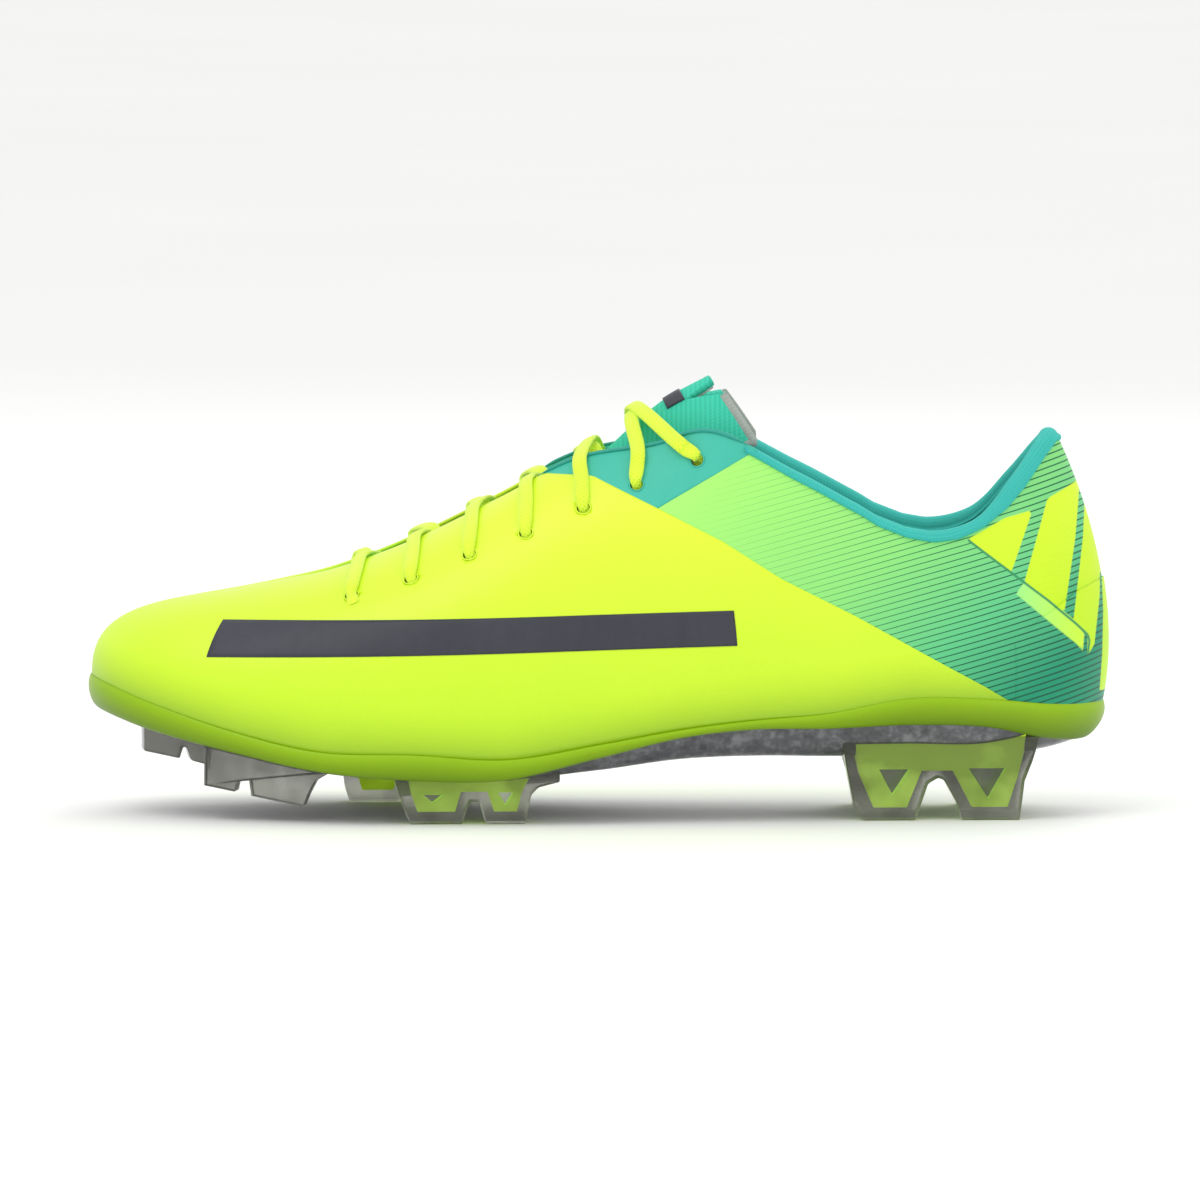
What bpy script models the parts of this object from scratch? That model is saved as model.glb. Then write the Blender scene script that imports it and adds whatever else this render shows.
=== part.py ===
"""A left soccer cleat: a layered upper on a moulded plate with bladed studs.

Metres, +Z up, toe towards -X, the outer (lateral) side of the foot towards -Y. The origin is on the
ground below the middle of the boot.
"""

import math

import bmesh
import bpy
import numpy as np
from mathutils import Matrix, Vector

# Overall sizes. The stations below are drawn for a 280 x 94 x 107 boot and scaled to these.
BOOT_LENGTH = 0.280
BALL_WIDTH = 0.094
HEEL_HEIGHT = 0.107
SCALE = np.array([BOOT_LENGTH / 280, BALL_WIDTH / 94, HEEL_HEIGHT / 107])

# Walls of the upper, from the outside in, and the clearance that neighbouring layers keep.
GAP = 0.0003
SKIN = 0.0012
STIFFENER = 0.0010
FOAM = 0.0032
LINING = 0.0008
BAND = 0.0005
HEEL_CAP = 0.0008
TONGUE = 0.0020
TONGUE_EDGE = 0.0008

# The sole, from the ground up.
RIM = 0.0018
PLATE = 0.0022
BOARD = 0.0013
SOCKLINER = 0.0035

# Studs and lace.
BLADE = 0.0080
BLADE_TIP = 0.0064
CORE = 0.0034
LACE = 0.0024
EYELET = 0.0046
EYELET_ROD = 0.016
AGLET = 0.0028

# Clearances that are wider than GAP, because faceted neighbours follow each other less closely.
PRINT_LIFT = 2 * GAP
FLOOR_GAP = 2 * GAP
RIM_TUCK = 0.0020
RIM_CLEAR = 0.0006
BOARD_CLEAR = 0.0020
SOCKLINER_CLEAR = 0.0015
LACE_CLEAR = 0.0005
LACE_CLEAR_INSIDE = 0.0006
LACE_CLEAR_EDGE = 0.0008
LACE_CLEAR_TONGUE = 0.0026
LACE_CLEAR_FAR = 0.0014

# Stations from the middle of the toe (0) round either side to the middle of the heel (15): the foot of
# the wall (x, half-width of each side, z), the foot of the rim (z), how the wall bulges (out, forward,
# rise of its first handle), its top line (x, half-gap, z) and the second handle (forward, out, drop).
STATION_NAMES = "foot_x lateral medial foot_z rim_z out lean rise top_x top_y top_z back spread drop".split()
STATIONS = np.array([
    (-139.0, 0.0, 0.0, 36.8, 28.5, 0.0, -0.6, 13.5, -105.0, 0.0, 60.1, -27.0, 0.0, 3.0),
    (-134.0, 16.0, 16.0, 35.3, 27.2, 1.0, -1.0, 14.0, -102.0, 0.0, 60.6, -21.0, 10.0, 2.0),
    (-121.0, 28.5, 28.5, 30.9, 23.6, 2.5, -1.0, 18.0, -96.0, 0.0, 61.7, -13.0, 18.0, 1.0),
    (-100.0, 37.5, 38.0, 24.6, 19.0, 4.0, 0.0, 24.0, -86.0, 0.5, 63.9, -7.0, 24.0, 0.5),
    (-76.0, 43.0, 43.5, 19.5, 14.3, 4.5, 0.0, 30.0, -72.0, 4.5, 67.2, -2.0, 26.0, 0.0),
    (-50.0, 45.0, 44.5, 18.8, 12.2, 4.0, 0.0, 36.0, -51.0, 8.8, 75.3, 0.0, 23.0, 2.0),
    (-25.0, 44.5, 42.0, 17.7, 12.5, 2.0, 0.0, 42.0, -27.0, 9.5, 87.1, 0.0, 21.0, 3.0),
    (0.0, 41.0, 37.0, 21.7, 18.1, 0.0, 0.0, 42.0, -7.0, 11.0, 97.5, 2.0, 18.0, 8.0),
    (22.0, 38.0, 34.5, 25.6, 23.3, 0.0, 0.0, 38.0, 14.0, 16.0, 101.8, 3.0, 13.0, 14.0),
    (42.0, 36.0, 33.0, 28.0, 25.5, 0.0, 0.0, 34.0, 31.0, 21.5, 105.8, 4.0, 8.0, 20.0),
    (62.0, 34.5, 32.5, 29.6, 25.6, 0.5, 0.0, 26.0, 55.0, 26.5, 94.2, 3.0, 5.0, 20.0),
    (84.0, 33.5, 32.5, 33.3, 26.5, 1.0, 0.0, 20.0, 82.0, 28.5, 80.5, 1.0, 3.0, 16.0),
    (105.0, 32.0, 31.5, 33.0, 25.9, 2.0, 1.0, 20.0, 101.0, 27.0, 82.0, 1.0, 4.0, 18.0),
    (122.0, 25.0, 25.0, 31.0, 22.3, 2.5, 3.0, 21.0, 113.0, 18.0, 94.0, 5.0, 7.0, 22.0),
    (133.0, 13.0, 13.0, 30.6, 21.3, 1.5, 4.0, 21.0, 120.5, 8.0, 102.8, 10.0, 4.0, 26.0),
    (137.0, 0.0, 0.0, 30.6, 24.0, 0.0, 4.6, 21.4, 123.5, 0.0, 106.3, 13.2, 0.0, 26.5),
])
HEEL = len(STATIONS) - 1
RING = 2 * HEEL
TOE_SWING = 6.0
NORMAL_STEP = 0.01
TANGENT_STEP = 0.05
RIDGE_MERGE = 0.0003

# Lines seen square from the side, as (x, z) in station units.
VAMP_LINE = [(-2.4, 93.7), (15.4, 85.3), (33.3, 76.4), (49.3, 66.3), (69.3, 56.3), (89.4, 45.2),
             (104.3, 37.1)]
EYESTAY_LINE = [(-30.0, 58.7), (15.4, 85.3), (40.3, 99.9), (60.0, 111.5)]
BAND_LOW = [(-140.0, 44.0), (60.0, 49.0)]
BAND_HIGH = [(-140.0, 53.5), (60.0, 58.5)]
HEEL_CAP_LINE = [(96.0, 33.0), (106.0, 42.0), (118.0, 54.0), (130.0, 62.0), (141.0, 66.0)]
EYELETS = [(-67.7, 61.7), (-51.2, 66.3), (-35.7, 72.8), (-20.0, 78.7), (-4.6, 85.3), (10.0, 91.4),
           (26.3, 98.0)]
CROSSINGS = [(-59.0, 68.1), (-43.5, 75.5), (-28.5, 83.3), (-13.0, 92.1), (1.0, 100.1), (10.5, 107.1)]

# Lowest line of the plate under the middle of the foot, one z for each station.
KEEL = [28.5, 26.2, 22.6, 17.6, 12.9, 11.2, 11.2, 13.3, 16.0, 16.8, 16.6, 16.6, 16.8, 18.4, 21.0, 24.0]

# Tongue: middle (x, z), half-width, how far each edge falls and runs back.
TONGUE_ROWS = [
    (-69.0, 58.0, 7.0, 2.0, 0.0), (-59.0, 62.5, 10.0, 4.0, 0.0), (-43.5, 70.0, 13.0, 7.0, 0.0),
    (-28.5, 77.6, 15.0, 9.5, 1.0), (-13.0, 86.0, 16.0, 12.5, 3.0), (0.0, 95.6, 14.0, 14.5, 4.0),
    (9.5, 104.4, 12.5, 15.5, 6.0), (18.0, 112.6, 13.0, 16.0, 8.0), (29.5, 119.6, 16.5, 17.0, 12.0),
]
TONGUE_HINGE = (-66.0, 59.0)

# Studs: side outlines (x, z) below the plate, where they stand across the boot, and their turn.
ROOT = 26.0
TOE_TEETH = [(-125.4, ROOT), (-125.4, 19.4), (-115.6, 17.2), (-114.6, 19.6), (-113.6, 19.2),
             (-112.4, 16.6), (-106.8, 15.0), (-106.0, ROOT)]
FRONT_BLADE = [(-107.0, ROOT), (-107.2, 9.7), (-98.8, 8.1), (-98.2, 11.2), (-94.8, 11.2), (-94.2, 7.0),
               (-80.2, 4.3), (-78.8, 7.6), (-76.9, 11.1), (-72.0, 14.0), (-72.0, ROOT)]
MID_BLADE = [(-56.0, ROOT), (-54.5, 7.6), (-52.8, 2.7), (-51.5, 0.0), (-37.4, 0.0), (-36.4, 3.6),
             (-35.2, 6.0), (-32.9, 6.0), (-31.6, 1.6), (-31.0, 0.0), (-20.3, 0.0), (-19.5, 4.6),
             (-18.7, 7.9), (-16.8, 9.9), (-11.0, 11.4), (-11.0, ROOT)]
INNER_BLADE = [(-71.6, ROOT), (-70.4, 4.5), (-69.0, 0.0), (-55.5, 0.0), (-54.0, 4.8), (-50.5, 4.8),
               (-49.0, 0.0), (-38.5, 0.0), (-37.0, 7.0), (-33.0, 11.0), (-33.0, ROOT)]
HEEL_BLADE = [(65.5, ROOT), (66.8, 13.9), (68.9, 3.6), (71.5, 0.0), (85.6, 0.0), (87.5, 5.7), (89.0, 10.0),
              (91.7, 11.6), (93.3, 11.0), (96.9, 4.6), (98.2, 0.0), (114.0, 0.0), (115.3, 10.6), (117.4, 16.0),
              (119.5, ROOT)]
MID_CORE = [(-52.0, ROOT), (-51.2, 8.0), (-49.6, 3.4), (-39.4, 3.4), (-37.9, 8.8), (-30.6, 8.8), (-28.8, 3.4),
            (-22.6, 3.4), (-21.4, 8.4), (-19.2, ROOT)]
INNER_CORE = [(-67.6, ROOT), (-67.0, 8.0), (-65.6, 3.4), (-57.0, 3.4), (-55.6, 7.6), (-48.6, 7.6),
              (-47.4, 3.4), (-41.4, 3.4), (-40.2, 8.4), (-37.8, ROOT)]
HEEL_CORE = [(69.2, ROOT), (70.2, 13.0), (74.2, 3.6), (83.2, 3.6), (87.2, 13.6), (95.8, 13.6), (101.0, 3.6),
             (110.6, 3.6), (113.4, 12.0), (115.6, ROOT)]
HEEL_POCKETS = [[(75.6, 14.0), (84.0, 14.0), (79.3, 7.0)], [(100.0, 14.2), (110.2, 14.2), (105.4, 5.8)]]


# ---- Scene and helpers -------------------------------------------------------------------------------
for old in list(bpy.data.objects):
    bpy.data.objects.remove(old, do_unlink=True)

BOOT = bpy.data.collections.new("soccer_cleat")
CUTTERS = bpy.data.collections.new("cutters")
bpy.context.scene.collection.children.link(BOOT)
bpy.context.scene.collection.children.link(CUTTERS)


def material(name, color, roughness, metallic=0.0):
    """One Principled BSDF finish."""
    made = bpy.data.materials.new(name)
    made.use_nodes = True
    shader = made.node_tree.nodes["Principled BSDF"]
    shader.inputs["Base Color"].default_value = (*color, 1)
    shader.inputs["Roughness"].default_value = roughness
    shader.inputs["Metallic"].default_value = metallic
    return made


NEON = material("neon_skin", (0.76, 1.0, 0.07), 0.45)
LINED = material("lined_skin", (0.25, 0.75, 0.38), 0.5)
TEAL = material("teal_skin", (0.09, 0.58, 0.45), 0.55)
TURQUOISE = material("turquoise_knit", (0.05, 0.50, 0.45), 0.85)
DARK = material("dark_print", (0.07, 0.07, 0.09), 0.5)
PALE = material("pale_lining", (0.62, 0.68, 0.62), 0.9)
FOAM_FINISH = material("foam", (0.75, 0.74, 0.66), 0.95)
BOARD_FINISH = material("fibre_board", (0.45, 0.42, 0.36), 0.9)
RIM_FINISH = material("rim_plastic", (0.40, 0.60, 0.02), 0.4)
PLATE_FINISH = material("composite_plate", (0.10, 0.10, 0.11), 0.35)
STUD_FINISH = material("smoked_stud", (0.26, 0.26, 0.25), 0.3)
CORE_FINISH = material("green_core", (0.46, 0.66, 0.05), 0.4)
AGLET_FINISH = material("clear_aglet", (0.6, 0.7, 0.3), 0.3)


def part(name, mesh, finish, collection=BOOT):
    """A named object with one finish, in a collection."""
    mesh.materials.append(finish)
    made = bpy.data.objects.new(name, mesh)
    collection.objects.link(made)
    return made


def cutter(name, mesh):
    """A helper that only cuts: drawn as wire and left out of renders."""
    made = part(name, mesh, DARK, CUTTERS)
    made.hide_render = True
    made.display_type = "WIRE"
    return made


def cut(target, tool):
    """Subtract one solid from another."""
    change = target.modifiers.new(tool.name, "BOOLEAN")
    change.object = tool
    change.operation = "DIFFERENCE"
    change.solver = "EXACT"


def line_z(points, x):
    """Height of a side-view line at x."""
    return np.interp(x, [p[0] for p in points], [p[1] for p in points])


# ---- The wall of the upper ---------------------------------------------------------------------------
def ring_of_handles():
    """The four Bezier points of the wall at every station: down the lateral side, up the medial side."""
    column = dict(zip(STATION_NAMES, STATIONS.T))
    sides = []
    for side, half in ((-1, "lateral"), (1, "medial")):
        swing = TOE_SWING * np.clip(-column["foot_x"] / 139, 0, 1) ** 2
        swing_top = TOE_SWING * np.clip(-column["top_x"] / 139, 0, 1) ** 2
        low = np.stack([column["foot_x"], side * column[half] + swing, column["foot_z"]], 1)
        rise = np.stack([column["lean"], side * column["out"], column["rise"]], 1)
        top = np.stack([column["top_x"], side * column["top_y"] + swing_top, column["top_z"]], 1)
        fall = np.stack([column["back"], side * column["spread"], -column["drop"]], 1)
        sides.append(np.stack([low, low + rise, top + fall, top], 1))
    return np.concatenate([sides[0], sides[1][HEEL - 1:0:-1]])


HANDLES = ring_of_handles()


def around(values, u):
    """Catmull-Rom curve through a closed ring of values, one for each station."""
    whole = np.floor(u).astype(int)
    t = (u - whole).reshape((-1,) + (1,) * (values.ndim - 1))
    before, here, after, later = (values[(whole + k) % RING] for k in (-1, 0, 1, 2))
    return here + 0.5 * t * (after - before + t * (
        2 * before - 5 * here + 4 * after - later + t * (3 * (here - after) + later - before)))


def wall(u, v):
    """Points of the wall in station units, at station u and height v (0 the foot, 1 the top line)."""
    u, v = np.broadcast_arrays(np.asarray(u, float), np.asarray(v, float))
    p0, p1, p2, p3 = np.moveaxis(around(HANDLES, u.ravel()), 1, 0)
    t = v.reshape(-1, 1)
    points = (1 - t) ** 3 * p0 + 3 * t * (1 - t) ** 2 * p1 + 3 * t ** 2 * (1 - t) * p2 + t ** 3 * p3
    return points.reshape(u.shape + (3,))


def height_at(u, line):
    """How far up the wall (v) each column crosses a side-view line; 0 below the foot, 1 above the top."""
    found = []
    steps = np.linspace(0, 1, 65)
    for station in np.atleast_1d(u):
        points = wall(station, steps)
        above = points[:, 2] - line_z(line, points[:, 0])
        over = np.argmax(above > 0)
        if above[0] > 0:
            found.append(0.0)
        elif not (above > 0).any():
            found.append(1.0)
        else:
            share = above[over - 1] / (above[over - 1] - above[over])
            found.append(steps[over - 1] + share * (steps[over] - steps[over - 1]))
    return np.array(found)


def outward(u, v):
    """Unit normals of the scaled wall, pointing out of the boot."""
    u, v = np.broadcast_arrays(np.asarray(u, float), np.minimum(v, 1 - NORMAL_STEP))
    along = (wall(u + NORMAL_STEP, v) - wall(u - NORMAL_STEP, v)) * SCALE
    up = (wall(u, v + NORMAL_STEP) - wall(u, v - NORMAL_STEP)) * SCALE
    normal = np.cross(along, up)
    return normal / np.linalg.norm(normal, axis=-1, keepdims=True)


def off_wall(place, distance):
    """Points out from (or in from) the wall at stations and heights, in metres."""
    u, v = place
    return wall(u, v) * SCALE + outward(u, v) * distance


def grid_mesh(name, points, closed_round=False, merge=0.00002):
    """A sheet of quads through a grid of points (metres), its coincident points merged."""
    rows, columns = points.shape[:2]
    index = np.arange(rows * columns).reshape(rows, columns)
    if closed_round:
        index = np.concatenate([index, index[:1]])
    quads = np.stack([index[:-1, :-1], index[1:, :-1], index[1:, 1:], index[:-1, 1:]], -1).reshape(-1, 4)
    mesh = bpy.data.meshes.new(name)
    mesh.from_pydata(points.reshape(-1, 3).tolist(), [], quads.tolist())
    shape = bmesh.new()
    shape.from_mesh(mesh)
    bmesh.ops.remove_doubles(shape, verts=shape.verts, dist=merge)
    shape.normal_update()
    shape.to_mesh(mesh)
    shape.free()
    return mesh


def sink(mesh, depth):
    """Move a sheet inwards along its own normals."""
    shape = bmesh.new()
    shape.from_mesh(mesh)
    shape.normal_update()
    moves = [(vert, vert.normal * depth) for vert in shape.verts]
    for vert, move in moves:
        vert.co -= move
    shape.to_mesh(mesh)
    shape.free()


def thicken(made, thickness):
    """Give a sheet its wall, on its inner side."""
    change = made.modifiers.new("wall", "SOLIDIFY")
    change.thickness = thickness
    change.offset = -1
    change.use_even_offset = True
    made.data.shade_smooth()
    return made


def layer(name, first, last, low, high, depth, thickness, finish, rows=8, per_station=2):
    """A panel of the upper from station first to last, between two heights, at a depth under the surface."""
    u = np.linspace(first, last, int(round((last - first) * per_station)) + 1)
    bottom = low(u) if callable(low) else np.full(len(u), float(low))
    top = high(u) if callable(high) else np.full(len(u), float(high))
    t = np.linspace(0, 1, rows + 1)
    v = bottom[:, None] + (top - bottom)[:, None] * t
    mesh = grid_mesh(name, off_wall((np.repeat(u[:, None], len(t), 1), v), -depth), merge=RIDGE_MERGE)
    return thicken(part(name, mesh, finish), thickness)


def nearest(x, z, side):
    """The station and height on one side whose side view is (x, z)."""
    u = np.linspace(0, HEEL, 601)[:, None]
    v = np.linspace(0, 1, 201)[None, :]
    points = wall(np.repeat(u, 201, 1), np.repeat(v, 601, 0))
    place = np.argmin((points[..., 0] - x) ** 2 + (points[..., 2] - z) ** 2)
    station, height = u[place // 201, 0], v[0, place % 201]
    return (station if side < 0 else RING - station), height


# ---- Upper -------------------------------------------------------------------------------------------
def mirrored(u):
    """The same station counted from the lateral side."""
    return np.where(np.asarray(u) > HEEL, RING - np.asarray(u), np.abs(u))


def vamp_top(u):
    return height_at(mirrored(u), VAMP_LINE)


SEAM_V = 0.008
VAMP_END = 12.0
COLLAR_START = 9.35
BINDING_LOW = 0.93
LAYER_TOP = BINDING_LOW - 2.5 * SEAM_V

layer("vamp", -VAMP_END, VAMP_END, 0.0, vamp_top, 0, SKIN, NEON, rows=9)


def quarter_low(u):
    return np.minimum(vamp_top(u) + SEAM_V, 0.9)


def quarter_high(u):
    eyestay = height_at(mirrored(u), EYESTAY_LINE) - SEAM_V
    return np.maximum(np.minimum(eyestay, BINDING_LOW - SEAM_V), quarter_low(u) + 0.01)


def eyestay_low(u):
    return np.maximum(vamp_top(u) + SEAM_V, height_at(mirrored(u), EYESTAY_LINE))


QUARTER_START, EYESTAY_START, EYESTAY_END = 8.25, 7.4, 9.2
BAND_START, BAND_END = 2.6, 8.8
FOAM_LOW, FOAM_SETBACK = 0.62, 0.3
COUNTER_START, COUNTER_LOW, COUNTER_HIGH = 12, 0.05, 0.60
HEEL_CAP_START, FOOT_SETBACK = 12.4, 0.03
PUFF_END, PUFF_LOW, PUFF_HIGH = 2.5, 0.06, 0.7
# The quarters stop this many stations short of the middle of the heel. Round that corner the room their
# inner faces need grows as the square of the skin's thickness and of how pointed the heel is.
HEEL_SPLIT = (SKIN / 0.00693 * SCALE[0] / SCALE[1]) ** 2


for side_name, turn in (("lateral", 1), ("medial", -1)):
    def span(first, last, turn=turn):
        return (first, last) if turn > 0 else (RING - last, RING - first)
    first, last = span(QUARTER_START, HEEL - HEEL_SPLIT)
    layer(f"quarter_{side_name}", first, last, quarter_low, quarter_high, 0, SKIN, LINED, rows=6,
          per_station=3)
    first, last = span(EYESTAY_START, EYESTAY_END)
    layer(f"eyestay_{side_name}", first, last, eyestay_low, 1.0, 0, SKIN, TEAL, rows=4, per_station=4)
    first, last = span(BAND_START, BAND_END)
    layer(f"side_band_{side_name}", first, last, lambda u: height_at(mirrored(u), BAND_LOW),
          lambda u: height_at(mirrored(u), BAND_HIGH), -BAND - PRINT_LIFT, BAND, DARK, rows=2)
    first, last = span(COLLAR_START + FOAM_SETBACK, HEEL - FOAM_SETBACK)
    layer(f"collar_foam_{side_name}", first, last, FOAM_LOW, LAYER_TOP, SKIN + GAP, FOAM, FOAM_FINISH,
          rows=3)

layer("heel_counter", COUNTER_START, RING - COUNTER_START, COUNTER_LOW, COUNTER_HIGH, SKIN + GAP, STIFFENER,
      BOARD_FINISH, rows=4)
layer("heel_cap", HEEL_CAP_START, RING - HEEL_CAP_START, FOOT_SETBACK,
      lambda u: height_at(mirrored(u), HEEL_CAP_LINE), -HEEL_CAP - PRINT_LIFT, HEEL_CAP, LINED, rows=4)
layer("toe_puff", -PUFF_END, PUFF_END, PUFF_LOW, PUFF_HIGH, SKIN + GAP, STIFFENER, BOARD_FINISH, rows=6)
LINING_JOIN, LINING_SPLIT = 9.15, 0.15
layer("forefoot_lining", -LINING_JOIN, LINING_JOIN, FOOT_SETBACK, 1.0, SKIN + STIFFENER + 3 * GAP, LINING,
      PALE, rows=9)
layer("heel_lining", LINING_JOIN + LINING_SPLIT, RING - LINING_JOIN - LINING_SPLIT, FOOT_SETBACK, LAYER_TOP,
      SKIN + FOAM + 2 * GAP, LINING, TURQUOISE, rows=6)
layer("collar_binding", COLLAR_START, RING - COLLAR_START, BINDING_LOW, 1.0, 0, SKIN + FOAM + LINING + 2 * GAP,
      TURQUOISE, rows=2)


# ---- Tongue ------------------------------------------------------------------------------------------
def tongue_at(row, across):
    """Points of the tongue in station units: row along it, across from -1 to 1."""
    rows = np.array(TONGUE_ROWS)
    x, z, half, drop, back = (np.interp(row, np.arange(len(rows)), rows[:, k]) for k in range(5))
    return np.stack([x + back * across ** 2, half * across, z - drop * np.abs(across) ** 2.2], -1)


def tongue_piece(name, first, last, half, rows, columns, depth, thickness, finish):
    """A strip of the tongue, at a depth under its upper surface."""
    row, across = np.meshgrid(np.linspace(first, last, rows + 1), np.linspace(-half, half, columns + 1),
                              indexing="ij")
    mesh = grid_mesh(name, tongue_at(row, across) * SCALE)
    sink(mesh, depth)
    made = thicken(part(name, mesh, finish), thickness)
    pivot = np.array([TONGUE_HINGE[0], 0, TONGUE_HINGE[1]]) * SCALE
    mesh.transform(Matrix.Translation((-pivot).tolist()))
    made.location = pivot
    return made


TONGUE_TIP = len(TONGUE_ROWS) - 1
TONGUE_LINED_FROM, TONGUE_LINED_WIDTH = 5.2, 0.96
PATCH_ROWS, PATCH_WIDTH = (7.1, 7.6), 0.28
tongue_piece("tongue", 0, TONGUE_TIP, 1.0, 16, 10, 0, TONGUE, TEAL)
tongue_piece("tongue_lining", TONGUE_LINED_FROM, TONGUE_TIP, TONGUE_LINED_WIDTH, 6, 10, TONGUE + GAP,
             TONGUE_EDGE, PALE)
tongue_piece("tongue_patch", *PATCH_ROWS, PATCH_WIDTH, 1, 2, -TONGUE_EDGE - GAP, TONGUE_EDGE, DARK)


# ---- Sole --------------------------------------------------------------------------------------------
def foot_ring(u, height, outset):
    """The foot of the wall in metres, moved outwards in plan by metres, at heights in station units."""
    points = wall(u, 0.0) * SCALE
    along = (wall(u + TANGENT_STEP, 0.0) - wall(u - TANGENT_STEP, 0.0)) * SCALE
    away = np.stack([along[:, 1], -along[:, 0]], 1)
    away /= np.linalg.norm(away, axis=1, keepdims=True)
    return np.column_stack([points[:, :2] + away * np.reshape(outset, (-1, 1)), height * SCALE[2]])


def station_curve(values, u):
    """A value given for each station, read anywhere round the ring."""
    return around(np.concatenate([values, values[HEEL - 1:0:-1]]), u)


RIM_BOTTOM = STATIONS[:, STATION_NAMES.index("rim_z")]
RIM_STEPS = 2 * RING
BOWL = 6
u_ring = np.arange(RIM_STEPS) * RING / RIM_STEPS
foot_z = wall(u_ring, 0.0)[:, 2] - 2 * GAP / SCALE[2]
rim_z = station_curve(RIM_BOTTOM, u_ring)
# The rim's section: share of its depth below the foot of the wall, and how far it stands out there.
RIM_SECTION = [(1, -RIM_TUCK), (0.66, 0.0002), (0.33, 0.0009), (0, 0.0007)]
rim_rings = [foot_ring(u_ring, foot_z + (rim_z - foot_z) * t, out) for t, out in RIM_SECTION]
thicken(part("sole_rim", grid_mesh("sole_rim", np.stack(rim_rings, 1), closed_round=True), RIM_FINISH), RIM)


def sole_grid(inset, raise_by, flat=None):
    """A sheet across the whole sole, in metres: inset from the foot of the wall, raised over the underside."""
    s = np.concatenate([[0, 0.15, 0.5], np.arange(1, HEEL), [HEEL - 0.5, HEEL - 0.15, HEEL]])
    across = np.array([-1, -0.93, -0.8, -0.5, 0, 0.5, 0.8, 0.93, 1])
    lateral = foot_ring(s, np.zeros(len(s)), -inset)
    medial = foot_ring((RING - s) % RING, np.zeros(len(s)), -inset)
    share = (across + 1) / 2
    points = lateral[:, None] * (1 - share)[None, :, None] + medial[:, None] * share[None, :, None]
    keel = station_curve(np.array(KEEL), s)[:, None] * SCALE[2]
    edge = station_curve(RIM_BOTTOM, s)[:, None] * SCALE[2]
    under = keel + (edge - keel) * np.abs(across)[None, :] ** BOWL + raise_by
    points[..., 2] = under if flat is None else flat
    return points


def between(name, low, high):
    """A closed solid between two sheets with the same outline."""
    rows, columns = low.shape[:2]
    edge = [(0, j) for j in range(columns)] + [(i, columns - 1) for i in range(1, rows)]
    edge += [(rows - 1, j) for j in range(columns - 2, -1, -1)] + [(i, 0) for i in range(rows - 2, 0, -1)]
    index = np.arange(rows * columns).reshape(rows, columns)
    quads = np.stack([index[:-1, :-1], index[1:, :-1], index[1:, 1:], index[:-1, 1:]], -1).reshape(-1, 4)
    count = rows * columns
    loop = [index[place] for place in edge]
    sides = [(loop[k], loop[k - 1], loop[k - 1] + count, loop[k] + count) for k in range(len(loop))]
    faces = [tuple(q) for q in quads[:, ::-1]] + [tuple(q + count) for q in quads] + sides
    mesh = bpy.data.meshes.new(name)
    mesh.from_pydata(np.concatenate([low.reshape(-1, 3), high.reshape(-1, 3)]).tolist(), [], faces)
    shape = bmesh.new()
    shape.from_mesh(mesh)
    bmesh.ops.remove_doubles(shape, verts=shape.verts, dist=0.00002)
    shape.normal_update()
    bmesh.ops.recalc_face_normals(shape, faces=shape.faces)
    shape.to_mesh(mesh)
    shape.free()
    return mesh


def sole_layer(name, inset, low, thickness, finish):
    """One layer of the sole: its underside is low above the underside of the plate."""
    return part(name, between(name, sole_grid(inset, low), sole_grid(inset, low + thickness)), finish)


PLATE_INSET = RIM_TUCK + RIM + RIM_CLEAR
BOARD_INSET = PLATE_INSET + BOARD_CLEAR
SOCKLINER_INSET = BOARD_INSET + SOCKLINER_CLEAR
sole_layer("outsole_plate", PLATE_INSET, 0, PLATE, PLATE_FINISH)
sole_layer("lasting_board", BOARD_INSET, PLATE + FLOOR_GAP, BOARD, BOARD_FINISH)
sole_layer("sockliner", SOCKLINER_INSET, PLATE + BOARD + 2 * FLOOR_GAP, SOCKLINER, TURQUOISE)
CUTTER_TOP = 0.08
CUTTER_MARGIN = 0.004
plate_cutter = cutter("plate_cutter", between("plate_cutter", sole_grid(-CUTTER_MARGIN, -GAP),
                                              sole_grid(-CUTTER_MARGIN, 0, flat=CUTTER_TOP)))


# ---- Studs -------------------------------------------------------------------------------------------
def slab(name, outline, thick, tip_thick, tip_z, y, turn, holes=()):
    """A side outline given a thickness across the boot that tapers to its tip, then turned and placed."""
    curve = bpy.data.curves.new(name, "CURVE")
    curve.dimensions = "2D"
    curve.fill_mode = "BOTH"
    curve.extrude = 0.5
    for points in (outline, *holes):
        spline = curve.splines.new("POLY")
        spline.points.add(len(points) - 1)
        for point, (x, z) in zip(spline.points, points):
            point.co = (x * SCALE[0], z * SCALE[2], 0, 1)
        spline.use_cyclic_u = True
    drawn = bpy.data.objects.new(name, curve)
    bpy.context.scene.collection.objects.link(drawn)
    graph = bpy.context.evaluated_depsgraph_get()
    mesh = bpy.data.meshes.new_from_object(drawn.evaluated_get(graph))
    bpy.data.objects.remove(drawn)
    shape = bmesh.new()
    shape.from_mesh(mesh)
    bmesh.ops.remove_doubles(shape, verts=shape.verts, dist=0.00002)
    middle = SCALE[0] * (min(p[0] for p in outline) + max(p[0] for p in outline)) / 2
    root = ROOT * SCALE[2]
    for vert in shape.verts:
        x, z, across = vert.co
        share = np.clip((z - tip_z * SCALE[2]) / (root - tip_z * SCALE[2]), 0, 1)
        width = tip_thick + (thick - tip_thick) * share
        x -= middle
        across *= width
        vert.co = (middle + x * math.cos(turn) - across * math.sin(turn),
                   y * SCALE[1] + x * math.sin(turn) + across * math.cos(turn), z)
    shape.normal_update()
    bmesh.ops.recalc_face_normals(shape, faces=shape.faces)
    shape.to_mesh(mesh)
    shape.free()
    return mesh


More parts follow.
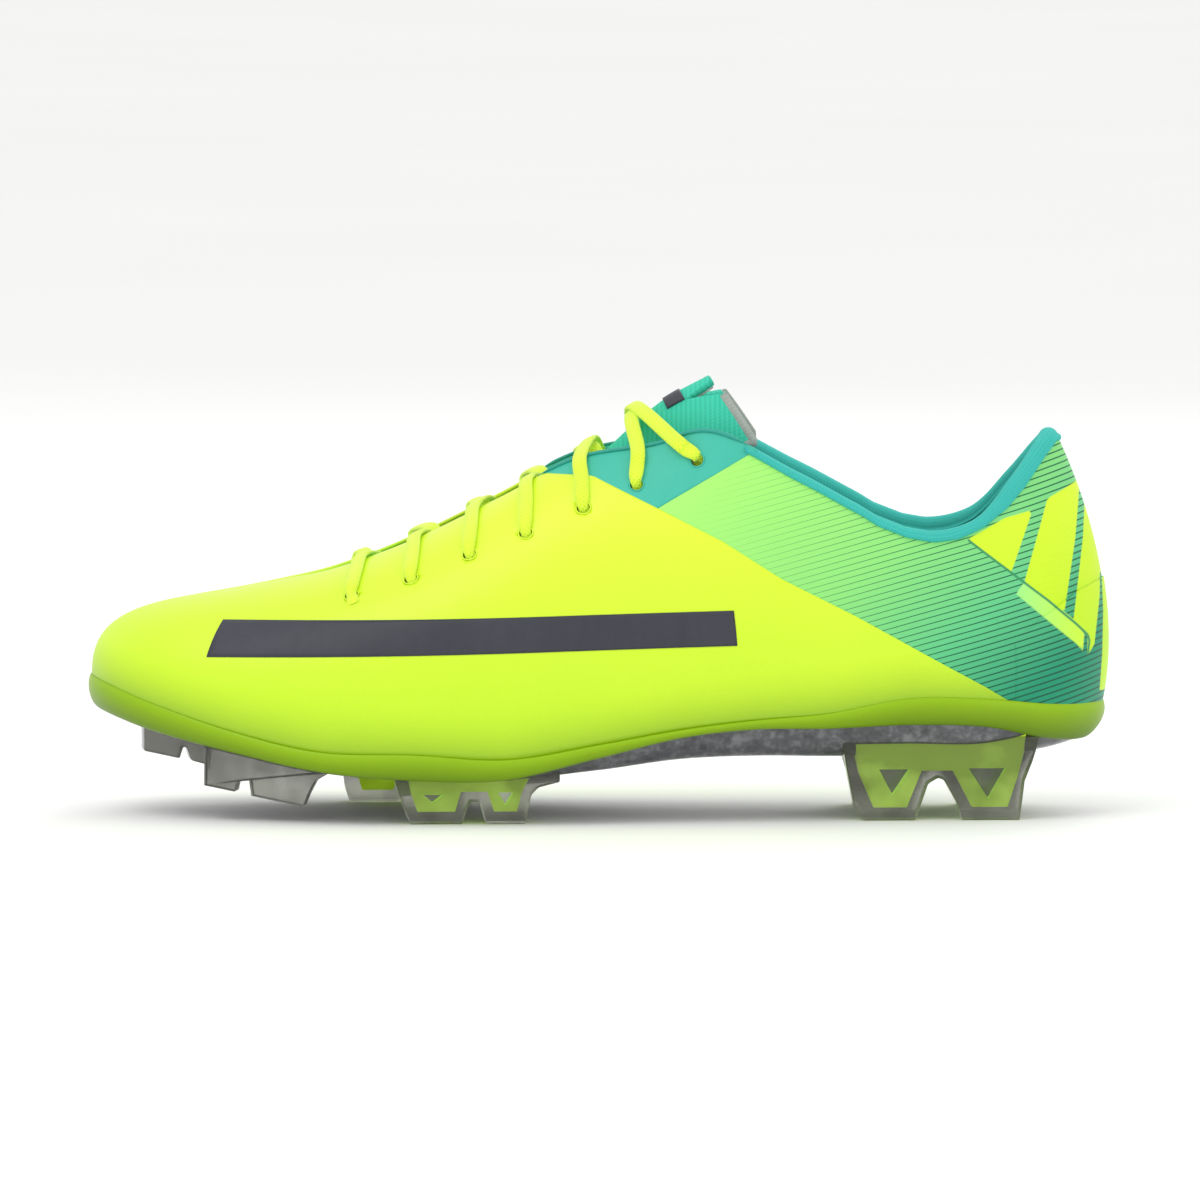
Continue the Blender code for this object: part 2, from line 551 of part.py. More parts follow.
def grown(outline, by):
    """An outline (station units) moved outwards by a distance in metres, with mitred corners."""
    points = np.array(outline) * SCALE[[0, 2]]
    area = np.sum(points[:, 0] * np.roll(points[:, 1], -1) - points[:, 1] * np.roll(points[:, 0], -1))
    edges = np.roll(points, -1, 0) - points
    normals = np.stack([edges[:, 1], -edges[:, 0]], 1) / np.linalg.norm(edges, axis=1, keepdims=True)
    normals *= np.sign(area)
    corner = normals + np.roll(normals, 1, 0)
    corner *= by / np.sum(corner * normals, 1, keepdims=True)
    return ((points + corner) / SCALE[[0, 2]]).tolist()


def stud(name, outline, y, turn, core=None, pockets=()):
    """A blade, cut to the underside of the plate, with a core seated in a slot from above."""
    made = part(name, slab(name, outline, BLADE, BLADE_TIP, 0, y, turn), STUD_FINISH)
    cut(made, plate_cutter)
    if core:
        core_name = name.replace("stud", "core")
        filling = part(core_name, slab(core_name, core, CORE, CORE, 0, y, turn, pockets), CORE_FINISH)
        cut(filling, plate_cutter)
        slot = slab(core_name, grown(core, GAP), CORE + 2 * GAP, CORE + 2 * GAP, 0, y, turn)
        cut(made, cutter(f"{core_name}_slot", slot))
    return made


stud("stud_toe", TOE_TEETH, 13, math.radians(8))
stud("stud_front_lateral", FRONT_BLADE, -26, math.radians(-9))
stud("stud_mid_lateral", MID_BLADE, -33, math.radians(3), MID_CORE)
stud("stud_mid_medial", INNER_BLADE, 32, math.radians(2), INNER_CORE)
stud("stud_heel_lateral", HEEL_BLADE, -22, math.radians(3), HEEL_CORE, HEEL_POCKETS)
stud("stud_heel_medial", HEEL_BLADE, 22, math.radians(-3), HEEL_CORE, HEEL_POCKETS)


# ---- Eyelets and lace --------------------------------------------------------------------------------
def eyelet_cutter(places):
    """Short rods through the wall at every eyelet."""
    shape = bmesh.new()
    for u, v in places:
        normal = outward(u, v)
        centre = wall(u, v) * SCALE
        turn = Vector(normal.tolist()).to_track_quat("Z", "Y").to_matrix().to_4x4()
        bmesh.ops.create_cone(shape, cap_ends=True, segments=10, radius1=EYELET / 2, radius2=EYELET / 2,
                              depth=EYELET_ROD, matrix=Matrix.Translation(centre.tolist()) @ turn)
    mesh = bpy.data.meshes.new("eyelet_cutter")
    shape.to_mesh(mesh)
    shape.free()
    return cutter("eyelet_cutter", mesh)


eyelet_places = {side: [nearest(x, z, side) for x, z in EYELETS] for side in (-1, 1)}
eyelet_rods = eyelet_cutter(eyelet_places[-1] + eyelet_places[1])
for name in ("vamp", "forefoot_lining", "eyestay_lateral", "eyestay_medial"):
    cut(bpy.data.objects[name], eyelet_rods)

OUTSIDE = LACE / 2 + LACE_CLEAR
# Where each crossing leaves one edge of the throat and meets the other: the share of the way to the next
# eyelet, the heights on the wall, and how far the lace sags between.
LEAVES, ARRIVES = 0.45, 0.85
THROAT_LOW, THROAT_HIGH, THROAT_RIDGE = 0.93, 0.97, 0.99
LACE_SAG = 0.0020
INSIDE = SKIN + STIFFENER + LINING + 3 * GAP + LACE / 2 + LACE_CLEAR_INSIDE


def tongue_top(place):
    """Height of the tongue's upper face at the x and y of a point, in metres."""
    row, across = np.meshgrid(np.linspace(0, TONGUE_TIP, 161), np.linspace(-1, 1, 81), indexing="ij")
    points = tongue_at(row, across) * SCALE
    return points[..., 2].flat[np.argmin(((points[..., :2] - place[:2]) ** 2).sum(-1))]


def half_lace(start_side, over):
    """The lace from the first eyelet of one side up to the last, crossing at every step."""
    side = start_side
    route = [off_wall(eyelet_places[side][0], OUTSIDE)]
    for step, (x, z) in enumerate(CROSSINGS):
        here, there = eyelet_places[side][step], eyelet_places[-side][step + 1]
        low, high = float(mirrored(here[0])), float(mirrored(there[0]))
        near, far = low + LEAVES * (high - low), low + ARRIVES * (high - low)
        near, far = (near, RING - far) if side < 0 else (RING - near, far)
        middle = np.array([x, 0, z]) * SCALE
        middle[2] += LACE / 2 + (LACE + GAP if over(step) else 0)
        edge = off_wall((near, THROAT_LOW), -INSIDE - LACE_CLEAR_EDGE)
        shoulder = (edge + middle) / 2 - np.array([0, 0, LACE_SAG])
        shoulder[2] = max(shoulder[2], tongue_top(shoulder) + LACE / 2 + LACE_CLEAR_TONGUE)
        route += [off_wall(here, -INSIDE), edge, shoulder, middle,
                  off_wall((far, THROAT_HIGH), OUTSIDE + LACE_CLEAR_FAR),
                  off_wall(((far + there[0]) / 2, (THROAT_HIGH + there[1]) / 2), OUTSIDE + GAP),
                  off_wall(there, OUTSIDE)]
        side = -side
    last = eyelet_places[side][-1]
    route += [off_wall(last, -INSIDE)]
    return route, last


def tube(name, points, diameter, finish, sides=2):
    """A round cord along a polyline."""
    curve = bpy.data.curves.new(name, "CURVE")
    curve.dimensions = "3D"
    curve.bevel_depth = diameter / 2
    curve.bevel_resolution = sides
    curve.use_fill_caps = True
    spline = curve.splines.new("POLY")
    spline.points.add(len(points) - 1)
    for point, place in zip(spline.points, points):
        point.co = (*place, 1)
    curve.materials.append(finish)
    made = bpy.data.objects.new(name, curve)
    BOOT.objects.link(made)
    return made


def tail(place, first, second):
    """Where an end of the lace is tucked: down the inside of the wall below the last eyelet."""
    u, v = place
    return [off_wall((u, v - drop), -INSIDE - LACE_CLEAR) for drop in (first, second)]


# How far down the wall, as a share of its height, each end and its aglet hang inside the last eyelet.
TUCK = (0.12, 0.24)
AGLET_SPAN = (0.255, 0.40)
first_half, first_last = half_lace(-1, lambda step: step % 2 == 0)
second_half, second_last = half_lace(1, lambda step: step % 2 == 1)
first_lateral, first_medial = eyelet_places[-1][0], eyelet_places[1][0]
bridge = [off_wall((u, v + (THROAT_RIDGE - v) * share), OUTSIDE + GAP)
          for (u, v), share in ((first_lateral, 0.5), (first_lateral, 1.0), (first_medial, 1.0),
                                (first_medial, 0.5))]
lace_route = (tail(first_last, *TUCK)[::-1] + first_half[::-1] + bridge + second_half
              + tail(second_last, *TUCK))
tube("lace", lace_route, LACE, NEON, 1)
for aglet_name, last in (("aglet_a", first_last), ("aglet_b", second_last)):
    tube(aglet_name, tail(last, *AGLET_SPAN), AGLET, AGLET_FINISH, 2)
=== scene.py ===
# %% [markdown]
# # A soccer cleat
# A left boot for firm ground: a thin fused upper on a moulded plate with bladed studs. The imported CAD
# model gives the frame, and every visible skin, lace and blade is drawn again here with the detail of
# the real thing. Everything is in metres, +Z up, the toe towards -X and the outer side towards -Y.
# %% Load the frame
import math

import bmesh
import bpy
import numpy as np
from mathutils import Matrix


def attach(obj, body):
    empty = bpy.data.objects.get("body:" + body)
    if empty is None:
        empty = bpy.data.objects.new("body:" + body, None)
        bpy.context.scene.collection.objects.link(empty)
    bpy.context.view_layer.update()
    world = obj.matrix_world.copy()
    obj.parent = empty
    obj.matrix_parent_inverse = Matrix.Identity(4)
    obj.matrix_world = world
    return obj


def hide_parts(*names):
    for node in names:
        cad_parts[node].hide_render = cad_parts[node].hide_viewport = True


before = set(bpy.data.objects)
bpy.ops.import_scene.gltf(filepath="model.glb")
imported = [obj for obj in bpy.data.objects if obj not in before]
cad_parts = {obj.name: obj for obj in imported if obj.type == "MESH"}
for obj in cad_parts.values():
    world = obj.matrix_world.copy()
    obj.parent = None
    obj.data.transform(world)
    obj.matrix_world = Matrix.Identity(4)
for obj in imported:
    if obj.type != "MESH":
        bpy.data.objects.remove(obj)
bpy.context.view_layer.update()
bpy.context.scene.view_settings.view_transform = "Standard"

# %% [markdown]
# ## Camera
# A catalogue picture of a boot is taken square from the outer side with a long lens, so that nothing
# bulges, and from a few degrees above the ground. A long way off and a narrow angle give that look.
# %% Camera
def linked(name, data):
    """A new object at the origin, in the scene."""
    made = bpy.data.objects.new(name, data)
    bpy.context.scene.collection.objects.link(made)
    return made


VIEW_DISTANCE = 4.0
VIEW_RISE = math.radians(4.5)
VIEW_CENTRE = np.array([0.0, -0.033, 0.0607])
lens = bpy.data.cameras.new("catalogue_lens")
lens.lens = 443
lens.sensor_width = 36
camera = linked("catalogue_camera", lens)
camera.location = VIEW_CENTRE + VIEW_DISTANCE * np.array([0, -math.cos(VIEW_RISE), math.sin(VIEW_RISE)])
camera.rotation_euler = (math.pi / 2 - VIEW_RISE, 0, 0)
bpy.context.scene.camera = camera
print("view width in mm", round(1000 * VIEW_DISTANCE * lens.sensor_width / lens.lens, 1))

# %% [markdown]
# ## The wall
# A last gives a boot its form. Here the last is a ring of stations, from the middle of the toe (0)
# along the outer side to the middle of the heel (15), and back along the inner side. Each station has
# one cubic Bezier column, from the foot of the upper to its top line, and the columns are joined by a
# smooth curve round the ring. One surface for all panels keeps their edges in line with each other.
# %% Stations of the last
MM = 0.001
STATION_NAMES = "foot_x lateral medial foot_z rim_z out lean rise top_x top_y top_z back spread drop".split()
STATIONS = np.array([
    (-139.0, 0.0, 0.0, 36.8, 28.5, 0.0, -0.6, 13.5, -105.0, 0.0, 60.1, -27.0, 0.0, 3.0),
    (-134.0, 16.0, 16.0, 35.3, 27.2, 1.0, -1.0, 14.0, -102.0, 0.0, 60.6, -21.0, 10.0, 2.0),
    (-121.0, 28.5, 28.5, 30.9, 23.6, 2.5, -1.0, 18.0, -96.0, 0.0, 61.7, -13.0, 18.0, 1.0),
    (-100.0, 37.5, 38.0, 24.6, 19.0, 4.0, 0.0, 24.0, -86.0, 0.5, 63.9, -7.0, 24.0, 0.5),
    (-76.0, 43.0, 43.5, 19.5, 14.3, 4.5, 0.0, 30.0, -72.0, 4.5, 67.2, -2.0, 26.0, 0.0),
    (-50.0, 45.0, 44.5, 18.8, 12.2, 4.0, 0.0, 36.0, -51.0, 8.8, 75.3, 0.0, 23.0, 2.0),
    (-25.0, 44.5, 42.0, 17.7, 12.5, 2.0, 0.0, 42.0, -27.0, 9.5, 87.1, 0.0, 21.0, 3.0),
    (0.0, 41.0, 37.0, 21.7, 18.1, 0.0, 0.0, 42.0, -7.0, 11.0, 97.5, 2.0, 18.0, 8.0),
    (22.0, 38.0, 34.5, 25.6, 23.3, 0.0, 0.0, 38.0, 14.0, 16.0, 101.8, 3.0, 13.0, 14.0),
    (42.0, 36.0, 33.0, 28.0, 25.5, 0.0, 0.0, 34.0, 31.0, 21.5, 105.8, 4.0, 8.0, 20.0),
    (62.0, 34.5, 32.5, 29.6, 25.6, 0.5, 0.0, 26.0, 55.0, 26.5, 94.2, 3.0, 5.0, 20.0),
    (84.0, 33.5, 32.5, 33.3, 26.5, 1.0, 0.0, 20.0, 82.0, 28.5, 80.5, 1.0, 3.0, 16.0),
    (105.0, 32.0, 31.5, 33.0, 25.9, 2.0, 1.0, 20.0, 101.0, 27.0, 82.0, 1.0, 4.0, 18.0),
    (122.0, 25.0, 25.0, 31.0, 22.3, 2.5, 3.0, 21.0, 113.0, 18.0, 94.0, 5.0, 7.0, 22.0),
    (133.0, 13.0, 13.0, 30.6, 21.3, 1.5, 4.0, 21.0, 120.5, 8.0, 102.8, 10.0, 4.0, 26.0),
    (137.0, 0.0, 0.0, 30.6, 24.0, 0.0, 4.6, 21.4, 123.5, 0.0, 106.3, 13.2, 0.0, 26.5),
])
HEEL = len(STATIONS) - 1
RING = 2 * HEEL
TOE_SWING = 6.0
TOE_X = -139.0
column = dict(zip(STATION_NAMES, STATIONS.T))


def swing(x):
    """How far the middle line turns inwards, in mm: TOE_SWING times the square of x / TOE_X."""
    return TOE_SWING * np.clip(x / TOE_X, 0, 1) ** 2


def one_side(side, side_name):
    """Bezier points of one side's columns: foot, foot + rise, top + fall, top."""
    foot_y, top_y = side * column[side_name], side * column["top_y"]
    low = np.stack([column["foot_x"], foot_y + swing(column["foot_x"]), column["foot_z"]], 1)
    rise = np.stack([column["lean"], side * column["out"], column["rise"]], 1)
    top = np.stack([column["top_x"], top_y + swing(column["top_x"]), column["top_z"]], 1)
    fall = np.stack([column["back"], side * column["spread"], -column["drop"]], 1)
    return np.stack([low, low + rise, top + fall, top], 1)


SIDES = ((-1, "lateral"), (1, "medial"))
outer_handles, inner_handles = (one_side(*side) for side in SIDES)
HANDLES = np.concatenate([outer_handles, inner_handles[HEEL - 1:0:-1]])
print("stations round the boot", len(HANDLES))


# %% Surface functions
def around(values, u):
    """Catmull-Rom curve through a closed ring of values, one for each station."""
    whole = np.floor(u).astype(int)
    t = (u - whole).reshape((-1,) + (1,) * (values.ndim - 1))
    before, here, after, later = (values[(whole + k) % RING] for k in (-1, 0, 1, 2))
    return here + 0.5 * t * (after - before + t * (
        2 * before - 5 * here + 4 * after - later + t * (3 * (here - after) + later - before)))


def mirrored(u):
    """The same station counted from the outer side."""
    u = np.asarray(u, float) % RING
    return np.where(u > HEEL, RING - u, u)


def wall(u, v):
    """Points of the wall in mm: a cubic Bezier in v (0 foot, 1 top line) of the handles at station u."""
    u, v = np.broadcast_arrays(np.asarray(u, float), np.asarray(v, float))
    flat = u.ravel()
    p0, p1, p2, p3 = np.moveaxis(around(HANDLES, flat), 1, 0)
    side = np.where(flat % RING > HEEL, 1.0, -1.0)
    middle = swing(p3[:, 0])
    p3 = p3.copy()
    p3[:, 1] = middle + side * np.maximum(side * (p3[:, 1] - middle), 0)
    t = v.reshape(-1, 1)
    points = (1 - t) ** 3 * p0 + 3 * t * (1 - t) ** 2 * p1 + 3 * t ** 2 * (1 - t) * p2 + t ** 3 * p3
    return points.reshape(u.shape + (3,))


NORMAL_STEP = 0.01


def directions(u, v):
    """Unit vectors of the wall: along the ring, up the column, and out of the boot (along x up)."""
    u, v = np.broadcast_arrays(np.asarray(u, float), np.clip(v, NORMAL_STEP, 1 - NORMAL_STEP))
    along = wall(u + NORMAL_STEP, v) - wall(u - NORMAL_STEP, v)
    up = wall(u, v + NORMAL_STEP) - wall(u, v - NORMAL_STEP)
    out = np.cross(along, up)
    return [w / np.linalg.norm(w, axis=-1, keepdims=True) for w in (along, up, out)]


def off_wall(u, v, distance):
    """Points in metres at a distance (mm) out from the wall."""
    lift = np.asarray(distance, float)
    return (wall(u, v) + directions(u, v)[2] * lift[..., None]) * MM


def crossing(u, line):
    """How far up each column (v) its side view crosses a line of (x, z) points; 0 or 1 where it doesn't."""
    steps = np.linspace(0, 1, 161)
    points = wall(np.asarray(u, float)[:, None], steps[None])
    above = points[..., 2] - np.interp(points[..., 0], *np.array(line).T)
    over = np.argmax(above > 0, 1)
    row = np.arange(len(over))
    low, high = above[row, over - 1], above[row, over]
    found = steps[over - 1] + low / np.where(low == high, 1, low - high) * steps[1]
    found = np.where(above[:, 0] > 0, 0.0, found)
    return np.where((above > 0).any(1), found, 1.0)


def nearest(x, z, side):
    """The station and height on one side whose side view is (x, z)."""
    u, v = np.meshgrid(np.linspace(0, HEEL, 601), np.linspace(0, 1, 201), indexing="ij")
    points = wall(u, v)
    place = np.argmin((points[..., 0] - x) ** 2 + (points[..., 2] - z) ** 2)
    return (u.flat[place] if side < 0 else RING - u.flat[place]), v.flat[place]


print("ball width in mm", round(float(np.ptp(wall(np.arange(RING), 0.3)[..., 1])), 1))

# %% [markdown]
# ## Lines of the panels
# Panels of a fused upper are cut along smooth lines that read best square from the side, so every
# edge is kept as a short list of (x, z) points in mm on that view, and each column is cut where it
# crosses its line.
# %% Panel lines
VAMP_LINE = [(-2.4, 93.7), (15.4, 85.3), (33.3, 76.4), (49.3, 66.3), (69.3, 56.3), (89.4, 45.2),
             (104.3, 37.1), (116.0, 30.0)]
EYESTAY_LINE = [(-30.0, 58.7), (15.4, 85.3), (40.3, 99.9), (60.0, 111.5)]
SEAM_LINE = [(36.0, 104.5), (43.9, 99.6), (54.2, 93.3), (65.3, 86.8), (75.3, 80.4), (83.4, 77.2),
             (90.4, 76.0), (97.3, 76.8), (104.3, 80.0), (110.5, 84.8), (115.4, 90.2), (120.5, 97.2),
             (124.5, 102.0)]
BAND_LOW = [(-140.0, 44.0), (60.0, 49.0)]
BAND_HIGH = [(-140.0, 53.5), (60.0, 58.5)]
HEEL_CAP_LINE = [(96.0, 33.0), (106.0, 42.0), (118.0, 54.0), (130.0, 62.0), (141.0, 66.0)]
EYELETS = [(-67.7, 61.7), (-51.2, 66.3), (-35.7, 72.8), (-20.0, 78.7), (-4.6, 85.3), (10.0, 91.4),
           (26.3, 98.0)]
FRONT_EYELETS = 5
VAMP_END = 13.2
COLLAR_START = 9.35
SEAM_TOP = 0.955


def vamp_top(u):
    """Top edge of the front panel: the top line, or the long slanting seam."""
    return crossing(mirrored(u), VAMP_LINE)


def seam_v(u):
    """Height of the seam under the padded collar."""
    return np.clip(crossing(mirrored(u), SEAM_LINE), 0.72, SEAM_TOP)


print("slanting seam at stations 8 to 12:", np.round(vamp_top(np.arange(8.0, 13.0)), 2))

# %% [markdown]
# ## Shader maths
# A finish is a graph of nodes. Written node by node it is long and hard to read, so one small class
# wraps a socket and lets Python's own signs add the Math nodes, and a second one makes any other node.
# %% Shader helper


class Value:
    """A shader socket that works in Python sums: each sign adds one Math node."""

    def __init__(self, finish, link):
        self.finish = finish
        self.link = link

    def math(self, operation, *others, clamp=False):
        """One Math node, of this value and the others."""
        settings = {"operation": operation, "use_clamp": clamp}
        return self.finish.node("ShaderNodeMath", settings, [self, *others])

    def __add__(self, other):
        return self.math("ADD", other)

    def __mul__(self, other):
        return self.math("MULTIPLY", other)

    def __sub__(self, other):
        return self.math("SUBTRACT", other)

    def __rsub__(self, other):
        return self.math("MULTIPLY", -1) + other

    def __truediv__(self, other):
        return self.math("DIVIDE", other)

    __radd__ = __add__
    __rmul__ = __mul__

    def clamp(self):
        """The value kept between 0 and 1."""
        return self.math("ADD", 0.0, clamp=True)

    def wave(self):
        """A smooth wave between 0 and 1, once for each whole number."""
        return (self * math.tau).math("SINE") * 0.5 + 0.5


def tint(code):
    """Linear colour of a web colour code, by the sRGB curve."""
    share = np.array([int(code[k:k + 2], 16) for k in (1, 3, 5)]) / 255
    return tuple(np.where(share > 0.04045, ((share + 0.055) / 1.055) ** 2.4, share / 12.92)) + (1.0,)


class Finish:
    """One material, with its Principled shader and short ways to make the nodes behind it."""

    def __init__(self, name, **numbers):
        self.material = bpy.data.materials.new(name)
        self.material.use_nodes = True
        self.tree = self.material.node_tree
        self.shader = self.tree.nodes["Principled BSDF"]
        for key, value in numbers.items():
            self.shader.inputs[key.replace("_", " ").title().replace("Ior", "IOR")].default_value = value

    def node(self, kind, settings=None, inputs=(), output=0):
        """Any node: its settings first, then a value or a link for each socket, by place or by name."""
        made = self.tree.nodes.new(kind)
        for key, value in (settings or {}).items():
            if key == "stops":
                while len(made.color_ramp.elements) < len(value):
                    made.color_ramp.elements.new(1.0)
                for element, (place, color) in zip(made.color_ramp.elements, value):
                    element.position = place
                    element.color = color
            else:
                setattr(made, key, value)
        pairs = inputs.items() if isinstance(inputs, dict) else enumerate(inputs)
        for key, value in pairs:
            if isinstance(value, Value):
                self.tree.links.new(value.link, made.inputs[key])
            else:
                made.inputs[key].default_value = value
        return Value(self, made.outputs[output])

    def at(self):
        """Object coordinates, in metres."""
        return self.node("ShaderNodeTexCoord", output=3)

    def axis(self, letter):
        """One of the object coordinates, in metres."""
        return self.node("ShaderNodeSeparateXYZ", inputs=[self.at()], output="xyz".index(letter))

    def stretched(self, scale, rotation=(0, 0, 0)):
        """Object coordinates, turned and scaled, which draws a noise out along the smaller scales."""
        inputs = {"Vector": self.at(), "Rotation": rotation, "Scale": scale}
        return self.node("ShaderNodeMapping", None, inputs)

    def attribute(self, name):
        """A number that the mesh keeps at each point."""
        return self.node("ShaderNodeAttribute", {"attribute_name": name}, output=2)

    def uv(self):
        """The piece's own map as two numbers."""
        at = self.node("ShaderNodeUVMap", {"uv_map": "UVMap"})
        return [self.node("ShaderNodeSeparateXYZ", inputs=[at], output=k) for k in range(2)]

    def noise(self, scale, detail=3.0, vector=None):
        """Soft random clouds, about one for each 1 / scale metres."""
        inputs = {"Vector": vector or self.at(), "Scale": scale, "Detail": detail}
        return self.node("ShaderNodeTexNoise", None, inputs)

    def cells(self, scale):
        """Distance to the nearest of many scattered points."""
        return self.node("ShaderNodeTexVoronoi", None, {"Vector": self.at(), "Scale": scale})

    def mix(self, factor, first, second):
        """Colour between two colours or links."""
        return self.node("ShaderNodeMix", {"data_type": "RGBA"}, {0: factor, 6: first, 7: second}, output=2)

    def ramp(self, factor, *stops):
        """Colour along a line of stops."""
        return self.node("ShaderNodeValToRGB", {"stops": stops}, [factor])

    def bump(self, height, distance, strength):
        """Relief of the given height in metres, sent to the shader."""
        inputs = {"Strength": strength, "Distance": distance, "Height": height}
        made = self.node("ShaderNodeBump", None, inputs)
        self.tree.links.new(made.link, self.shader.inputs["Normal"])

    def feed(self, **links):
        """Join links to the shader's own sockets."""
        for key, value in links.items():
            self.tree.links.new(value.link, self.shader.inputs[key.replace("_", " ").title()])
        return self.material


print("mid grey is", np.round(tint("#808080")[:3], 3))

# %% [markdown]
# ## Finishes of the upper
# The skin is a thin microfibre with a coloured film over it: almost smooth, faintly grained, with a
# soft gloss. Neon pigments give back more light than falls on them, which a weak glow of the same
# colour stands for. The slanting quarter has the same film with fine printed lines.
# %% Neon skin
# Lemon is the neon lit from above, and olive is the same neon in shade by the sole: painted light and painted
# shade.
LIME, LIT_LEMON, SHADED_OLIVE = tint("#BEE80C"), tint("#DCF32A"), tint("#8CB404")
PAINTED_SHADE_HEIGHT = 0.014
GRAIN = 2400


def neon_skin(name, glow, painted_shade=True):
    """One neon with painted light and shade: lemon above where light falls, lime below, and a painted olive
    shade close to the sole, with a fine grain.
    """
    f = Finish(name, roughness=0.42, coat_weight=0.12, coat_roughness=0.35, emission_strength=glow,
               emission_color=LIME)
    cloud = f.noise(28, 2)
    # Painted light: the neon is lighter higher up, as if lit from above, with random clouds in the tone.
    height = ((f.axis("z") - 0.028) * 18 + (cloud - 0.5) * 0.25).clamp()
    color = f.mix(height, LIME, LIT_LEMON)
    # Painted shade: the lowest 14 mm above the foot of the upper darken towards olive.
    if painted_shade:
        low = (1 - f.attribute("rise") / PAINTED_SHADE_HEIGHT).clamp()
        color = f.mix(low * low * 0.85 + low * 0.15, color, SHADED_OLIVE)
    fine = f.noise(GRAIN, 4)
    pores = f.cells(GRAIN * 0.8)
    f.bump(fine * 0.6 + pores * 0.4, 0.00012, 0.55)
    return f.feed(base_color=color, roughness=fine * 0.16 + 0.34 + (cloud - 0.5) * 0.1)


NEON = neon_skin("neon_skin", 0.05)
NEON_LIP = neon_skin("neon_lip", 0.0, painted_shade=False)
print("neon finishes:", NEON.name, NEON_LIP.name)


# %% Lined skin
LINE_SLOPE = math.radians(15.5)
LINE_PITCH = 0.00162
HEM_START, HEM_END = 0.0996, 0.0444


def lined_skin(name):
    """Light green fading to teal, with printed lines that rise backwards and grow wider towards the heel.

    A line is where the distance across them, z cos a - x sin a, is near a whole number of pitches.
    """
    # The weak emission is a painted glow that brightens the film.
    f = Finish(name, roughness=0.42, coat_weight=0.04, coat_roughness=0.35, specular_ior_level=0.25,
               emission_strength=0.03, emission_color=tint("#7FE89A"))
    x, z = f.axis("x"), f.axis("z")
    fade = (x - 0.020) * 7.6 + (0.095 - z) * 10.0
    ground = f.ramp(fade * 0.6, (0.0, tint("#AAEF6E")), (0.40, tint("#8CDD78")),
                    (0.62, tint("#5CC283")), (0.80, tint("#0E8C6A")))
    across = (z * math.cos(LINE_SLOPE) - x * math.sin(LINE_SLOPE)) / LINE_PITCH
    saw = (across.math("FRACT") - 0.5).math("ABSOLUTE") * 2
    width = ((x - 0.030) * 5.5).clamp() * 0.46 + ((0.060 - z) * 9.0).clamp() * 0.12
    ink = ((width - saw) * 10.0 + 0.45).clamp() * ((x - 0.018 + (0.1 - z) * 0.35) * 60).clamp()
    ink_color = f.ramp(fade * 0.6, (0.0, tint("#4FA052")), (0.4, tint("#176E42")),
                       (0.80, tint("#044C3A")))
    color = f.mix(ink, ground, ink_color)
    strip = (f.attribute("strip") * 2200).clamp()
    pale = f.mix(((x - 0.108) * 45).clamp(), tint("#8FE890"), tint("#C8F23A"))
    color = f.mix(strip, color, pale)
    wedge = (f.attribute("wedge") * 4200 + 0.5).clamp()
    # Painted light on the neon wedges: lemon higher up and lime lower, as on the neon skin.
    neon = f.mix(((z - 0.045) * 18).clamp(), LIME, LIT_LEMON)
    color = f.mix(wedge, color, neon)
    edge = (1.3 - f.attribute("edge").math("ABSOLUTE") * 2600).clamp()
    edge = edge * ((x - HEM_START) * 3000).clamp() * ((z - HEM_END) * 3000).clamp()
    color = f.mix(edge, color, tint("#2C8A58"))
    fine = f.noise(GRAIN, 4)
    f.bump(fine * 0.5 + ink * 0.5, 0.00010, 0.5)
    return f.feed(base_color=color, roughness=fine * 0.16 + 0.34)


LINED = lined_skin("lined_skin")
HEEL_PRINT = lined_skin("heel_cap_print")
print("printed lines are", LINE_PITCH * 1000, "mm apart")


# %% Plain teal skin and the side band
def plain_skin(name, first, second, grain=GRAIN, glow=0.0):
    """Two close tones in soft clouds, with a fine grain and a faint brushed nap."""
    f = Finish(name, coat_weight=0.04, coat_roughness=0.4, specular_ior_level=0.3, emission_strength=glow,
               emission_color=tint(first))
    cloud = f.noise(45, 3)
    fine = f.noise(grain, 4)
    nap = f.noise(420, 2, f.stretched((1.0, 1.0, 0.15)))
    color = f.mix((cloud * 0.7 + nap * 0.3 - 0.2).clamp(), tint(first), tint(second))
    f.bump(fine * 0.6 + nap * 0.4, 0.00012, 0.5)
    return f.feed(base_color=color, roughness=fine * 0.18 + 0.36)


TEAL = plain_skin("teal_skin", "#42BCA6", "#34AA95", glow=0.02)
DARK = plain_skin("dark_print", "#34353D", "#474851", 1900)
PIPING = plain_skin("teal_piping", "#2FA191", "#259082")
print("plain skins:", TEAL.name, DARK.name, PIPING.name)

# %% [markdown]
# ## Cloth finishes
# The collar and sock are brushed knits, the tongue is a ribbed knit whose ribs run up and down, and
# the lace is a flat woven tube. Their threads are drawn from two crossed waves in the piece's own map,
# so that they follow the piece wherever it bends.
# %% Knit and woven finishes
def knit(name, first, second, rows, ribs=0.0, depth=0.00012):
    """Loops in offset rows: the product of a wave along and a wave across, shifted every other row."""
    f = Finish(name, roughness=0.85, sheen_weight=0.35, sheen_roughness=0.5, sheen_tint=tint(first))
    u, v = f.uv()
    shifted = u * rows + (v * rows * 0.5).wave() * 0.35
    loops = shifted.wave() * (v * rows).wave()
    rib = (u * ribs).wave() if ribs else loops
    fuzz = f.noise(3200, 4)
    cloud = f.noise(60, 2)
    tone = (loops * 0.35 + rib * 0.35 + cloud * 0.5 - 0.15).clamp()
    f.bump(loops * 0.4 + rib * 0.8 + fuzz * 0.3, depth, 0.6)
    return f.feed(base_color=f.mix(tone, tint(second), tint(first)), roughness=fuzz * 0.2 + 0.7)


